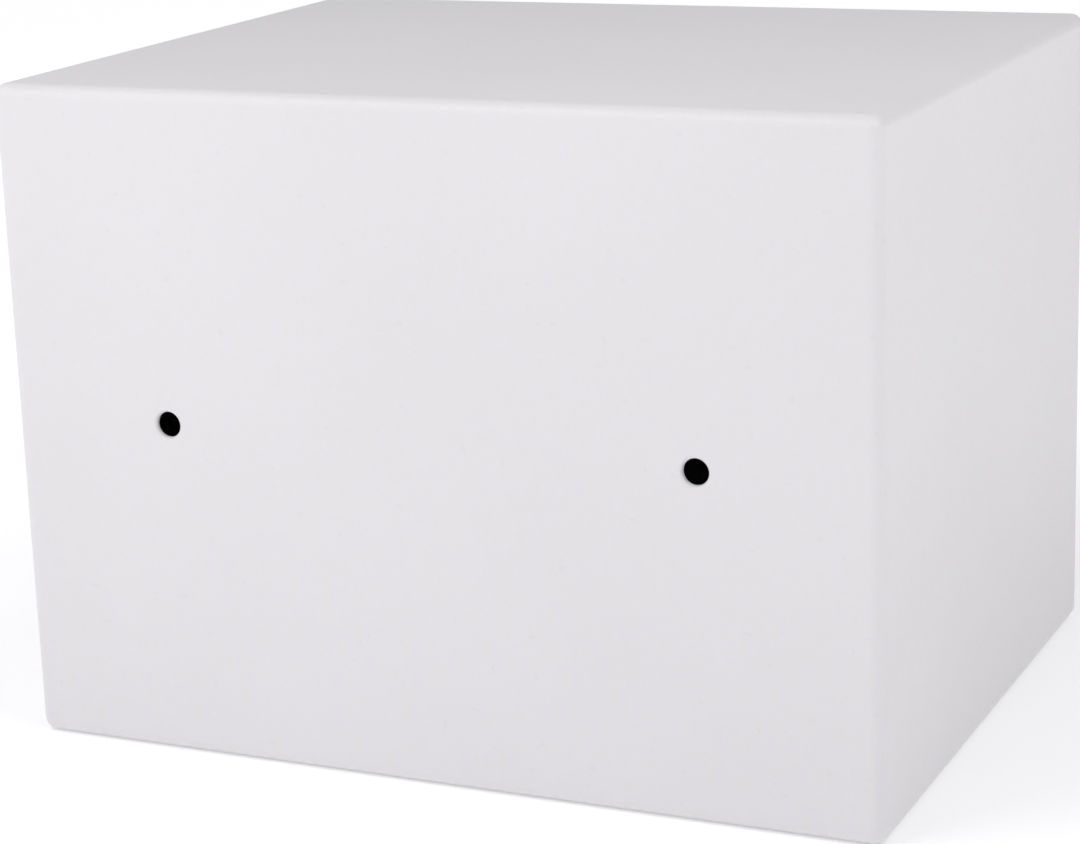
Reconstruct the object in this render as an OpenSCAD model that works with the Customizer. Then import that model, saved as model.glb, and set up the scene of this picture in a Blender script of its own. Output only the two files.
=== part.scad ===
// Small electronic safe for the home: a folded steel case with a flush front door,
// a keypad, a turning knob that draws two bolts, a solenoid catch and a hidden key lock.
// Millimetres. The origin is the middle of the base, +Z is up and the door faces -Y.
// The safe is drawn closed and unlocked: the bolts are back and the catch is lifted.

/* [Body] */
// Width of the case
body_w = 338; // [320:1:420]
// Height of the case
body_h = 250; // [230:1:340]
// Depth of the case, from the door's face to the rear wall
body_d = 258; // [220:1:360]
// Sheet thickness of the case
shell_t = 2; // [1.5:0.5:2.5]
// Radius of the folded outer edges
edge_r = 5; // [4:0.5:8]

/* [Front rim] */
// Width of the rim round the door opening
rim_w = 18; // [16:1:21]
// Thickness of the rim plate
rim_t = 3; // [2:0.5:3.5]

/* [Anchor holes] */
// Diameter of each anchor hole
anchor_d = 9.5; // [7:0.5:12]
// Distance between the two rear anchor holes
anchor_gap = 206; // [120:2:240]
// Height of the rear anchor holes
anchor_z = 127; // [60:1:180]
// Distance between the two base anchor holes
base_anchor_gap = 206; // [120:2:240]
// Distance of the base anchor holes behind the middle of the base
base_anchor_y = 20; // [-20:1:60]

/* [Floor mat] */
// Thickness of the felt mat
mat_t = 2; // [1:0.5:3]
// Gap between the mat and the folds of the case
mat_gap = 1; // [0.5:0.5:5]
// Distance between the mat and the hinge lugs
mat_front_gap = 6; // [4:1:30]
// Diameter of the openings in the mat over the base holes
mat_hole_d = 20; // [16:1:30]

/* [Door] */
// Thickness of the door plate
door_t = 4; // [3:0.5:5]
// Gap round the door at the top, the bottom and the bolt side
door_gap = 1.5; // [1:0.1:2]
// Gap at the hinge side of the door
hinge_side_gap = 2.2; // [2:0.1:3]

/* [Hinge] */
// Distance of the hinge axis from the door's edge
hinge_in = 15; // [14:0.5:17]
// Distance of the hinge axis behind the door's face
hinge_back = 11; // [10.5:0.5:11.5]
// Diameter of the hinge pins
hinge_pin_d = 8; // [6:0.5:9]
// Radius of the rounded lugs that hold the pins
lug_r = 9; // [8:0.5:10]
// Height of each lug
lug_h = 14; // [10:1:18]
// Distance of each lug from the edge of the opening
lug_drop = 6; // [5:0.5:7]
// Thickness of the bracket's steel
bracket_t = 3; // [2:0.5:3.5]
// Steel of the bracket beyond the lug on each side
bracket_rim = 3; // [1:0.5:4]
// Height of the bracket's upright leg
bracket_leg = 13; // [9:1:13]
// Wall of the hinge bushes
bush_wall = 1.5; // [1:0.25:2]
// Play between each collar and its lug
thrust_gap = 0.2; // [0.1:0.1:0.5]

/* [Door stop] */
// Sheet thickness of the door stop
stop_t = 2; // [1:0.5:2]
// Overlap of the stop behind the edge of the opening
stop_lap = 6; // [4:0.5:6]
// Gap between the closed door and the stop
stop_gap = 0.4; // [0.3:0.1:0.6]

/* [Bolts] */
// Diameter of the two locking bolts
bolt_d = 16; // [12:1:18]
// Distance between the two bolts
bolt_spread = 80; // [78:1:96]
// Travel of the bolts
bolt_throw = 15; // [12:0.5:15]
// Distance from the opening's edge to the tip of a thrown bolt
bolt_reach = 12.5; // [11:0.5:13]
// Distance of the bolts' axes behind the door plate
bolt_set = 14; // [13:0.5:16]
// Thickness of the keeper plate
keeper_t = 3; // [2:0.5:3.5]
// Distance of the keeper plate from the opening's edge
keeper_set = 3; // [2.5:0.5:4]
// Clearance of the keeper's holes round the bolts
keeper_clear = 2; // [1:0.5:3]
// Thickness of the bolt guide's steel
guide_t = 3; // [2:0.5:4]
// Distance of the bolt guide from the door's edge
guide_set = 12.5; // [12:0.5:15]
// Length of the bolt guide's foot
guide_foot = 24; // [18:1:26]
// Steel left above and below each bolt in the guide and the keeper
guide_margin = 9; // [6:1:12]

/* [Bolt carrier] */
// Thickness of the carrier plate
carrier_t = 3; // [2:0.5:4]
// Width of the carrier's cross-piece at the bolts
cross_w = 14; // [12:1:18]
// Steel of the cross-piece above and below each bolt
cross_margin = 5; // [4:0.5:6]
// Reach of the carrier plate from the knob's axis towards the hinge
carrier_back = 52; // [50:1:54]
// Reach of the carrier plate from the knob's axis towards the bolts
carrier_front = 38; // [36:1:42]
// Height of the carrier's edges above and below the knob's axis
carrier_half = 40; // [38:0.5:41]
// Diameter of the guide studs
stud_d = 8; // [6:0.5:9]
// Distance of the guide studs from the knob's axis towards the hinge
stud_back = 38; // [37:0.5:40]
// Distance of the guide studs above and below the knob's axis
stud_spread = 25; // [23:0.5:27]
// Clearance of the carrier's slots round the studs
slot_clear = 0.3; // [0.1:0.1:0.5]
// Diameter of the rivet tails of the bolts
rivet_d = 8; // [6:0.5:9]

/* [Knob] */
// Distance of the knob's axis from the middle of the case
knob_x = 62; // [60:1:68]
// Diameter of the knob's skirt
knob_d = 42; // [34:1:44]
// Diameter of the knob's grip
grip_d = 34; // [28:1:34]
// Length of the knob's skirt
skirt_h = 6; // [4:1:9]
// Length of the knob's grip
grip_h = 18; // [12:1:24]
// Number of finger flutes round the grip
flutes = 12; // [6:1:16]
// Diameter of each flute
flute_d = 5; // [3:0.5:6]
// Diameter of the escutcheon under the knob
escutcheon_d = 48; // [46:1:50]
// Thickness of the escutcheon
escutcheon_t = 4; // [2:0.5:5]
// Diameter of the spindle
spindle_d = 8; // [6:0.5:10]
// Wall of the spindle's bush
spindle_wall = 2; // [1.5:0.5:3]
// Distance from the spindle's axis to the crank pin
crank_r = 13; // [12.5:0.5:15]
// Diameter of the crank pin
crank_pin_d = 6; // [5:0.5:7]
// Thickness of the crank arm
crank_t = 4; // [3:0.5:5]
// Width of the metal round the crank's holes
crank_rim = 4; // [3:0.5:5]
// Distance of the crank behind the carrier's near face
crank_set = 3; // [2.5:0.5:4]
// Clearance of the carrier's slot round the crank pin
crank_clear = 0.35; // [0.3:0.05:0.5]

/* [Keypad] */
// Distance of the keypad from the middle of the case, towards the hinge
pad_set = 42; // [40:1:46]
// Width of the keypad housing
pad_w = 92; // [84:1:94]
// Height of the keypad housing
pad_h = 132; // [126:1:150]
// Depth of the keypad housing
pad_d = 14; // [13:0.5:18]
// Wall of the keypad housing
pad_wall = 2; // [1.5:0.5:2.5]
// Radius of the housing's corners
pad_r = 8; // [5:1:10]
// Width of each key
key_w = 15; // [12:0.5:15.5]
// Height of each key
key_h = 12; // [10:0.5:12.5]
// Distance between the columns of keys
key_step_x = 20; // [19.5:0.5:22]
// Distance between the rows of keys
key_step_z = 18; // [16.5:0.5:19]
// Distance of the block of keys below the middle of the keypad
key_drop = 8; // [6:0.5:12]
// Travel of each key
key_travel = 1.5; // [1:0.1:1.6]
// Height of a key above the housing
key_proud = 2; // [1.8:0.1:3]
// Clearance round each key
key_clear = 0.3; // [0.2:0.05:0.4]
// Flange round the foot of each key
key_flange = 1; // [0.8:0.1:1.2]
// Thickness of the rubber key mat
key_mat_t = 1.5; // [1:0.1:1.6]
// Thickness of the circuit board
board_t = 1.6; // [1:0.1:2]
// Diameter of the three indicator lights
led_d = 5; // [3:0.5:6]
// Distance between the indicator lights
led_step = 12; // [10:0.5:12]
// Height of the lights and the buzzer above the middle of the keypad
led_up = 47; // [45:0.5:48]
// Diameter of the buzzer
buzzer_d = 12; // [9:0.5:14]
// Distance of the buzzer's middle from the side of the circuit board
buzzer_in = 14.5; // [10:0.5:16]

/* [Key lock] */
// Height of the lock above the knob's axis
lock_up = 39; // [38.5:0.5:41]
// Diameter of the lock's body
lock_d = 18; // [16:0.5:19]
// Diameter of the lock's turning plug
plug_d = 12; // [10:0.5:13]
// Diameter of the lock's front flange
lock_flange_d = 22; // [20:0.5:23]
// Width of the keyway
keyway_w = 1.6; // [1:0.1:2]
// Length of the keyway
keyway_h = 8; // [6:0.5:9]
// Length of the cam from the plug's axis to its round end
cam_len = 25; // [24:0.5:27]
// Width of the cam
cam_w = 7; // [5:0.5:7.5]
// Thickness of the cam
cam_t = 2; // [1.5:0.5:2.5]
// Turn of the cam between its rest and the catch, in degrees
cam_turn = 70; // [50:1:72]
// Diameter of the swinging keyhole cover
flap_d = 24; // [22:0.5:26]
// Thickness of the keyhole cover
flap_t = 1.5; // [1:0.1:2]
// Height of the cover's rivet above the lock
flap_up = 18; // [17:0.5:22]
// Diameter of the cover's rivet
flap_rivet_d = 4; // [3:0.5:5]

/* [Solenoid catch] */
// Distance of the plunger from the knob's axis towards the hinge
catch_back = 26; // [25:0.5:27]
// Diameter of the plunger
plunger_d = 8; // [6:0.5:8.5]
// Depth by which the plunger blocks the carrier
catch_depth = 3; // [2:0.5:3]
// Play of the carrier before the plunger stops it
catch_play = 6; // [6:0.5:7]
// Travel of the plunger
plunger_lift = 8; // [8:0.5:9]
// Diameter of the plunger's collar
plunger_collar_d = 14; // [13:0.5:15]
// Diameter of the coil
coil_d = 20; // [16:0.5:21]
// Height of the coil
coil_h = 20; // [16:0.5:21]
// Steel thickness of the solenoid's frame
coil_frame_t = 2; // [1.5:0.5:2.5]
// Steel beyond the coil and the screws of the solenoid's frame
coil_rim = 2; // [1:0.5:3]
// Thickness of the plunger's collar
collar_t = 2; // [1:0.5:3]
// Gap between the solenoid and the top of the inner cover
catch_room = 7; // [3:0.5:15]
// Length of the spring while the catch is down
spring_len = 16; // [15.5:0.5:17]
// Diameter of the spring's wire
spring_wire = 0.8; // [0.5:0.1:0.9]
// Number of turns of the spring
spring_turns = 5; // [3:1:6]

/* [Inner cover] */
// Depth of the space behind the door plate
cover_d = 36; // [35:0.5:42]
// Sheet thickness of the cover
cover_t = 1; // [0.8:0.1:1.5]
// Distance of the cover from the door's edges
cover_in = 12.5; // [12:0.5:15]
// Distance of the cover's right wall from the door's edge
cover_side = 9.5; // [9:0.5:10.5]
// Distance of the cover from the hinge axis
cover_hinge = 16; // [15:0.5:18]
// Clearance of the cover's holes round the bolts
cover_clear = 1; // [0.5:0.25:1.5]
// Diameter of the posts that carry the cover
post_d = 8; // [6:0.5:9]
// Distance of the posts from the cover's wall at the hinge side
post_in = 9; // [7:0.5:11]
// Distance of the posts from the cover's top and bottom
post_end = 6; // [5.5:0.5:8]
// Gap between the posts and the bolt guide
post_gap = 4; // [2:0.5:5]
// Thread diameter of the screws
screw_d = 3; // [2.5:0.5:3.5]
// Length of the thread in its post
screw_bite = 6; // [4:0.5:7]
// Height of the screws' heads
screw_head_t = 1.8; // [1.2:0.1:2.5]

/* [Battery tray] */
// Distance of the tray's middle from the inner cover's wall at the hinge side
tray_set = 55.8; // [52:0.2:70]
// Distance of the tray below the knob's axis
tray_drop = 4; // [0:1:8]
// Diameter of each cell
cell_d = 14.5; // [14:0.1:14.6]
// Length of each cell
cell_len = 50.5; // [50:0.1:51]
// Space for the contacts at each end of the cells
contact_gap = 5; // [4:0.5:5.5]
// Width and height of each contact plate
contact_w = 8; // [6:0.5:12]
// Sheet thickness of the contact plates
contact_t = 0.5; // [0.3:0.1:0.8]
// Diameter of the cells' raised end
nub_d = 5.5; // [5:0.1:6]
// Wall of the tray
tray_wall = 1.5; // [1:0.1:1.8]
// Width of the tray's flange on the cover
tray_flange = 3; // [2.5:0.5:4]
// Thickness of the tray's flange
tray_flange_t = 1.2; // [1:0.1:2]
// Thickness of the battery lid
lid_t = 2; // [1.5:0.1:2.5]
// Diameter of the lid's hinge rod
lid_rod_d = 3; // [2.5:0.1:3.5]
// Width of the lid's finger tab
tab_w = 14; // [8:1:24]
// Height of the lid's finger tab
tab_h = 3; // [2:0.5:5]

/* [Reset button] */
// Distance of the button from the cover's wall at the hinge side
reset_in = 13; // [12:0.5:14]
// Height of the button above the knob's axis
reset_up = 55; // [50:1:62]
// Diameter of the button
reset_d = 5; // [4:0.5:6]
// Travel of the button
reset_travel = 2; // [1:0.1:2.2]
// Width of the switch behind the button
reset_switch_w = 10; // [9:0.5:11]

/* [Leads] */
// Diameter of the insulated leads
lead_d = 2.2; // [1.4:0.1:2.3]
// Height of the lead hole below the knob's axis
lead_drop = 47; // [46:0.5:49]
// Bore of the rubber grommet
grommet_bore = 9; // [8.5:0.5:10]

/* [Fits] */
// Radial play of a turning or sliding fit
run_gap = 0.05; // [0.02:0.01:0.1]
// Play between moving faces
face_gap = 0.2; // [0.1:0.05:0.3]

/* [Hidden] */
$fn = 48;
hull_fn = 32;
over = 1;

// The front, the rim's opening and the door's edges
front_y = -body_d / 2;
rear_y = body_d / 2;
rim_back = front_y + rim_t;
door_back = front_y + door_t;
open_l = -body_w / 2 + rim_w;
open_r = body_w / 2 - rim_w;
open_b = rim_w;
open_t = body_h - rim_w;
door_l = open_l + hinge_side_gap;
door_r = open_r - door_gap;
door_b = open_b + door_gap;
door_top = open_t - door_gap;

// The catch hangs below the inner cover's top, and the knob's axis lies below the catch
cover_top = door_top - cover_in;
catch_height = 2 * coil_frame_t + coil_h + spring_len + collar_t;
lock_z = cover_top - cover_t - catch_room - catch_height - cam_w / 2 - 0.5;
knob_z = lock_z - lock_up;

// The hinge axis and its parts above it
hinge_x = door_l + hinge_in;
hinge_y = front_y + hinge_back;
lug_top = open_t - lug_drop;
bracket_z = open_t + 1;
bush_d = hinge_pin_d + 2 * bush_wall;
hinge_pin_bore = hinge_pin_d + 2 * run_gap;
collar_r = hinge_y - door_back - 0.3;
bracket_r = lug_r + bracket_rim;

// The bolts, the carrier and the keeper, as they are while the bolts are thrown
bolt_y = door_back + bolt_set;
carrier_y0 = bolt_y + bolt_d / 2;
carrier_y1 = carrier_y0 + carrier_t;
carrier_l = knob_x - carrier_back;
carrier_r = knob_x + carrier_front;
carrier_top = knob_z + carrier_half;
bolt_tip = open_r + bolt_reach;
keeper_x = open_r + keeper_set;
guide_x1 = door_r - guide_set;
guide_x0 = guide_x1 - guide_t;
bolt_zs = [knob_z - bolt_spread / 2, knob_z + bolt_spread / 2];
bolt_plate_half = bolt_spread / 2 + bolt_d / 2 + guide_margin;
bolt_bore = bolt_d + 2 * run_gap;

// The crank pin swings equally far to each side of the line under the knob
crank_half = asin(bolt_throw / 2 / crank_r);
crank_x = knob_x - bolt_throw / 2;
crank_slot_x = knob_x + bolt_throw / 2;
crank_z = knob_z - crank_r * cos(crank_half);
crank_y1 = carrier_y0 - crank_set;
crank_y0 = crank_y1 - crank_t;
spindle_bush_d = spindle_d + 2 * spindle_wall;
bush_flange_t = 2;
knob_back = front_y - escutcheon_t - face_gap;
skirt_front = knob_back - skirt_h;
knob_front = skirt_front - grip_h;
socket_floor = skirt_front - grip_h * 0.6;

// The guide studs
stud_x = knob_x - stud_back;
stud_zs = [knob_z - stud_spread, knob_z + stud_spread];
stud_head_t = 1.5;
stud_head_d = stud_d + 4;

// The keypad, front to back
pad_x = -pad_set;
pad_front = front_y - pad_d;
pad_inner = pad_front + pad_wall;
key_front = pad_front - key_proud;
key_foot = pad_inner + 1.6;
mat_front = key_foot + key_travel + face_gap;
board_front = mat_front + key_mat_t;
board_back = board_front + board_t;
pad_post_x = pad_w / 2 - pad_wall - 5;
pad_post_z = pad_h / 2 - pad_wall - 5;
board_half_x = pad_post_x - 4.5;
board_half_z = pad_post_z - 4.5;
board_post_x = board_half_x - 3;
board_post_z = board_half_z - 2.5;
light_z = knob_z + led_up;
buzzer_x = pad_x + board_half_x - buzzer_in;
pad_post_d = screw_d + 4;
board_post_d = screw_d + 2;
board_bite = 3.5;
KEY_NAMES = ["key_1", "key_2", "key_3", "key_4", "key_5", "key_6",
    "key_7", "key_8", "key_9", "key_star", "key_0", "key_hash"];

// The key lock and its cover
lock_front = front_y - 2;
cam_y0 = crank_y0 + 1;
cam_y1 = cam_y0 + cam_t;
lock_back = cam_y0;
plug_tail_d = plug_d - 4;
nut_t = 5;
flap_z = lock_z + flap_up;
flap_back = lock_front - 0.5;
flap_front = flap_back - flap_t;

// The solenoid catch, from the tip of the dropped plunger upwards
catch_x = knob_x - catch_back;
catch_y = (carrier_y0 + carrier_y1) / 2;
tip_z = carrier_top - catch_depth;
collar_z0 = lock_z + cam_w / 2 + 0.5;
collar_z1 = collar_z0 + collar_t;
coil_frame_z = collar_z1 + spring_len;
coil_z0 = coil_frame_z + coil_frame_t;
coil_z1 = coil_z0 + coil_h;
plunger_top = coil_z1 - 3;
coil_front = catch_y - coil_d / 2;
coil_base_y = coil_front - coil_frame_t - 0.5;
coil_post_x = coil_d / 2 + coil_rim + post_d / 2;
coil_foot_x = coil_post_x + post_d / 2 + coil_rim / 2;
coil_mid_z = (coil_z0 + coil_z1) / 2;
terminal_x = catch_x - coil_d / 2 - 5;

// The inner cover and its posts
cover_l = hinge_x + cover_hinge;
cover_r = door_r - cover_side;
cover_b = door_b + cover_in;
cover_in_y = door_back + cover_d;
cover_y = cover_in_y + cover_t;
post_xs = [cover_l + post_in, guide_x0 - post_gap - post_d / 2];
post_zs = [cover_b + post_end, cover_top - post_end];
pilot = screw_bite + 2;

// The battery tray and its lid
tray_x = cover_l + tray_set;
tray_z = knob_z - tray_drop;
cell_step = cell_d + 0.2;
tray_in_w = cell_len + 2 * contact_gap;
tray_in_h = 4 * cell_step + 0.2;
tray_w = tray_in_w + 2 * tray_wall;
tray_h = tray_in_h + 2 * tray_wall;
tray_top_y = cover_y + tray_flange_t;
cell_y = cover_in_y - 1.5 - cell_d / 2;
tray_floor_y = cell_y - cell_d / 2 - 0.2;
tray_back_y = tray_floor_y - tray_wall;
cell_zs = [for (i = [-1.5 : 1.5]) tray_z + i * cell_step];
lid_y = tray_top_y + face_gap;
lid_axis_y = lid_y + lid_rod_d / 2;
lid_axis_z = tray_z + tray_h / 2 + lid_rod_d / 2 + 0.5;
lid_w = tray_w - 4;
ear_w = 3;

// The reset button
reset_x = cover_l + cover_t + reset_in;
reset_z = knob_z + reset_up;
reset_proud = 3;
reset_foot = cover_in_y - 4;
switch_back = reset_foot - reset_travel - 3;

// The leads leave the circuit board side by side and pass through the door plate
lead_z = knob_z - lead_drop;
lead_step = lead_d + 0.4;
lead_start = board_back + 2;
grommet_d = grommet_bore + 5;
grommet_lip = 1.2;
tray_lead = [tray_x + 4, tray_back_y, tray_z - 22];
coil_lead = [terminal_x, catch_y, coil_mid_z];
reset_lead = [reset_x, switch_back, reset_z];
run_y = door_back + 4;
leads = [
    [
        [pad_x - lead_step, lead_start, lead_z],
        [pad_x - lead_step, front_y, lead_z],
        [pad_x - lead_step - 1, run_y, lead_z - 2],
        [pad_x - 24, run_y + 1, lead_z - 8],
        [reset_x + 12, run_y + 1, lead_z - 2],
        [reset_x - 1, run_y + 1, lead_z + 30],
        [reset_x - 2, run_y + 2, reset_z - 20],
        [reset_x, switch_back - 10, reset_z - 3],
        [reset_x, switch_back - 3, reset_z],
        reset_lead
    ],
    [
        [pad_x, lead_start, lead_z],
        [pad_x, front_y, lead_z],
        [pad_x, run_y + 1, lead_z + 1],
        [pad_x - 5, run_y + 5, lead_z + 7],
        [tray_x + 6, tray_back_y - 6, tray_z - 25],
        [tray_x + 4, tray_back_y - 3, tray_z - 22],
        tray_lead
    ],
    [
        [pad_x + lead_step, lead_start, lead_z],
        [pad_x + lead_step, front_y, lead_z],
        [pad_x + lead_step + 2, run_y, lead_z + 2],
        [-20, run_y + 1, lead_z + 4],
        [-10, run_y + 1, lead_z + 24],
        [-6, run_y + 1, knob_z + 20],
        [2, run_y + 1, coil_mid_z - 22],
        [4, run_y + 3, coil_mid_z - 6],
        [8, catch_y - 9, coil_mid_z],
        [terminal_x - 8, catch_y - 1, coil_mid_z],
        [terminal_x - 3, catch_y, coil_mid_z],
        coil_lead
    ]
];

CASE = [
    "body_shell", "front_rim", "door_stop", "keeper_plate", "hinge_brackets", "hinge_bushes",
    "floor_mat"
];
DOOR = [
    "door_plate", "hinge_lugs", "hinge_pins", "inner_cover", "cover_posts", "cover_screws",
    "bolt_guide", "guide_studs", "spindle_bush", "knob_escutcheon", "keypad_housing", "key_mat",
    "circuit_board", "buzzer", "indicator_lights", "inner_screws", "lock_body", "lock_nut",
    "flap_rivet", "lead_grommet", "battery_tray", "battery_contacts", "battery_cells",
    "solenoid_frame", "solenoid_coil", "solenoid_posts", "plunger_spring", "inner_leads",
    "reset_switch"
];
MOVING = [
    "knob", "spindle", "crank", "bolt_carrier", "locking_bolts", "plunger", "lock_plug",
    "lock_cam", "keyhole_cover", "battery_lid", "reset_button"
];

case_white = "whitesmoke";
trim_black = [0.13, 0.13, 0.14];
steel = "silver";

// Shared shapes

// Block between two opposite corners, given as one pair of limits for each direction
module block(x, y, z) {
    translate([x[0], y[0], z[0]]) cube([x[1] - x[0], y[1] - y[0], z[1] - z[0]]);
}

// Round bar along the depth of the safe, at a place of the front view
module rod(x, z, y, d) {
    translate([x, y[0], z]) rotate([-90, 0, 0]) cylinder(d = d, h = y[1] - y[0]);
}

// The same piece at the top and, mirrored, at the bottom of the safe
module top_and_bottom() {
    children();
    translate([0, 0, body_h]) mirror([0, 0, 1]) children();
}

// Plate with rounded corners in the front view
module rounded_plate(x, y, z, r) {
    hull()
        for (cx = [x[0] + r, x[1] - r], cz = [z[0] + r, z[1] - r])
            translate([cx, y[0], cz]) rotate([-90, 0, 0]) cylinder(r = r, h = y[1] - y[0], $fn = hull_fn);
}

// Screw with a flat head towards the rear and its tip towards the front
module screw(x, z, head_y, length) {
    rod(x, z, [head_y, head_y + screw_head_t], screw_d * 1.9);
    rod(x, z, [head_y - length, head_y], screw_d);
}

// Case block with rounded sides and rounded rear edges, inset from the outer faces
module case_block(inset, r, y) {
    cx = body_w / 2 - inset - r;
    cy = y[1] - r;
    cz = [inset + r, body_h - inset - r];
    hull() {
        for (side = [-1, 1], z = cz) {
            translate([side * cx, y[0], z]) rotate([-90, 0, 0])
                cylinder(r = r, h = cy - y[0], $fn = hull_fn);
            translate([side * cx, cy, z]) sphere(r = r, $fn = hull_fn);
        }
        for (z = cz)
            translate([-cx, cy, z]) rotate([0, 90, 0]) cylinder(r = r, h = 2 * cx, $fn = hull_fn);
        for (side = [-1, 1])
            translate([side * cx, cy, cz[0]]) cylinder(r = r, h = cz[1] - cz[0], $fn = hull_fn);
    }
}

// Smooth path through a list of points, straight between the first two and the last two,
// with a number of steps between two other points
function curve_point(a, b, c, d, t) =
    0.5 * (2 * b + (c - a) * t + (2 * a - 5 * b + 4 * c - d) * t * t + (3 * b - a - 3 * c + d) * t * t * t);
function smooth_path(p, steps) = concat(
    [p[0]],
    [for (i = [1 : len(p) - 3], k = [0 : steps - 1])
        curve_point(p[i - 1], p[i], p[i + 1], p[i + 2], k / steps)],
    [p[len(p) - 2], p[len(p) - 1]]
);

// Tube along a path, whose rings turn with the path
function unit(v) = v / norm(v);
function heading(path, i) = unit(path[min(i + 1, len(path) - 1)] - path[max(i - 1, 0)]);
function square_to(v, h) = unit(v - (v * h) * h);
function ring_sides(path, start) = [
    for (i = 0, n = square_to(start, heading(path, 0)); i < len(path);
        i = i + 1, n = i < len(path) ? square_to(n, heading(path, i)) : n) n
];
module tube(path, d, sides, start) {
    normals = ring_sides(path, start);
    points = [
        for (i = [0 : len(path) - 1], k = [0 : sides - 1])
            path[i] + d / 2 * (cos(360 * k / sides) * normals[i]
                + sin(360 * k / sides) * cross(heading(path, i), normals[i]))
    ];
    walls = [
        for (i = [0 : len(path) - 2], k = [0 : sides - 1])
            let (a = i * sides + k, b = i * sides + (k + 1) % sides)
                for (face = [[a, a + sides, b + sides], [a, b + sides, b]]) face
    ];
    last = (len(path) - 1) * sides;
    ends = [[for (k = [0 : sides - 1]) k], [for (k = [sides - 1 : -1 : 0]) last + k]];
    polyhedron(points, concat(walls, ends));
}

// The case

module body_shell() {
    color(case_white)
        difference() {
            case_block(0, edge_r, [rim_back, rear_y]);
            case_block(shell_t, edge_r - shell_t, [rim_back - over, rear_y - shell_t]);
            for (side = [-1, 1]) {
                rod(side * anchor_gap / 2, anchor_z, [rear_y - shell_t - over, rear_y + over], anchor_d);
                translate([side * base_anchor_gap / 2, base_anchor_y, -over])
                    cylinder(d = anchor_d, h = shell_t + 2 * over);
            }
        }
}

module front_rim() {
    color(case_white)
        difference() {
            rounded_plate([-body_w / 2, body_w / 2], [front_y, rim_back], [0, body_h], edge_r);
            block([open_l, open_r], [front_y - over, rim_back + over], [open_b, open_t]);
        }
}

// Angle strips behind the rim on three sides, none at the hinges
module door_stop() {
    lip = [door_back + stop_gap, door_back + stop_gap + stop_t];
    start = hinge_x + bracket_r + 2;
    side = open_r + stop_t;
    color(case_white)
        union() {
            top_and_bottom() {
                block([start, side], lip, [open_t - stop_lap, open_t + stop_t]);
                block([start, side], [rim_back, lip[1]], [open_t, open_t + stop_t]);
            }
            block([open_r - stop_lap, side], lip, [open_b - stop_t, open_t + stop_t]);
            block([open_r, side], [rim_back, lip[1]], [open_b - stop_t, open_t + stop_t]);
        }
}

module keeper_plate() {
    z = [knob_z - bolt_plate_half, knob_z + bolt_plate_half];
    back = carrier_y0 + 5;
    color(steel)
        difference() {
            union() {
                block([keeper_x, keeper_x + keeper_t], [rim_back, back], z);
                block([keeper_x, body_w / 2 - shell_t], [back - keeper_t, back], z);
            }
            for (bz = bolt_zs)
                translate([keeper_x - over, bolt_y, bz]) rotate([0, 90, 0])
                    cylinder(d = bolt_d + keeper_clear, h = keeper_t + 2 * over);
        }
}

module hinge_brackets() {
    x = [hinge_x - bracket_r, hinge_x + bracket_r];
    color(case_white)
        top_and_bottom()
            difference() {
                union() {
                    block(x, [rim_back, hinge_y + lug_r], [bracket_z, bracket_z + bracket_t]);
                    block(x, [rim_back, rim_back + bracket_t], [bracket_z, bracket_z + bracket_leg]);
                }
                translate([hinge_x, hinge_y, bracket_z - over])
                    cylinder(d = bush_d + 2 * run_gap, h = bracket_t + 2 * over);
            }
}

// Bushes with a collar that keeps each lug off its bracket
module hinge_bushes() {
    z0 = lug_top + thrust_gap;
    color("darkgoldenrod")
        top_and_bottom()
            translate([hinge_x, hinge_y, z0])
                difference() {
                    union() {
                        cylinder(d = bush_d, h = bracket_z + bracket_t - z0);
                        cylinder(r = collar_r, h = bracket_z - z0);
                    }
                    translate([0, 0, -over])
                        cylinder(d = hinge_pin_bore, h = bracket_z + bracket_t - z0 + 2 * over);
                }
}

module floor_mat() {
    half = body_w / 2 - edge_r - mat_gap;
    back = rear_y - edge_r - mat_gap;
    color([0.2, 0.2, 0.22])
        difference() {
            block([-half, half], [hinge_y + lug_r + mat_front_gap, back], [shell_t, shell_t + mat_t]);
            for (side = [-1, 1])
                translate([side * base_anchor_gap / 2, base_anchor_y, 0])
                    cylinder(d = mat_hole_d, h = shell_t + mat_t + over);
        }
}

// The door's steelwork

// Turned piece along the depth of the safe, from points of radius and depth
module turned(x, z, outline) {
    translate([x, 0, z]) rotate([-90, 0, 0]) rotate_extrude() polygon(outline);
}

module door_plate() {
    y = [front_y - over, door_back + over];
    color(case_white)
        difference() {
            block([door_l, door_r], [front_y, door_back], [door_b, door_top]);
            rod(knob_x, knob_z, y, spindle_bush_d + 2 * run_gap);
            rod(knob_x, lock_z, y, lock_d + 2 * run_gap);
            rod(knob_x, flap_z, y, flap_rivet_d + 2 * run_gap);
            rod(pad_x, lead_z, y, grommet_bore + 2 + 2 * run_gap);
            for (side = [-1, 1], end = [-1, 1])
                rod(pad_x + side * pad_post_x, knob_z + end * pad_post_z, y, screw_d + 2 * face_gap);
        }
}

module hinge_lugs() {
    color(case_white)
        top_and_bottom()
            difference() {
                hull() {
                    block([hinge_x - lug_r, hinge_x + lug_r], [door_back, hinge_y],
                        [lug_top - lug_h, lug_top]);
                    translate([hinge_x, hinge_y, lug_top - lug_h])
                        cylinder(r = lug_r, h = lug_h, $fn = hull_fn);
                }
                translate([hinge_x, hinge_y, lug_top - lug_h + 2]) cylinder(d = hinge_pin_bore, h = lug_h);
                block([hinge_x - lug_r - over, hinge_x + lug_r + over], [front_y, door_back],
                    [lug_top - lug_h - over, lug_top + over]);
            }
}

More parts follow.
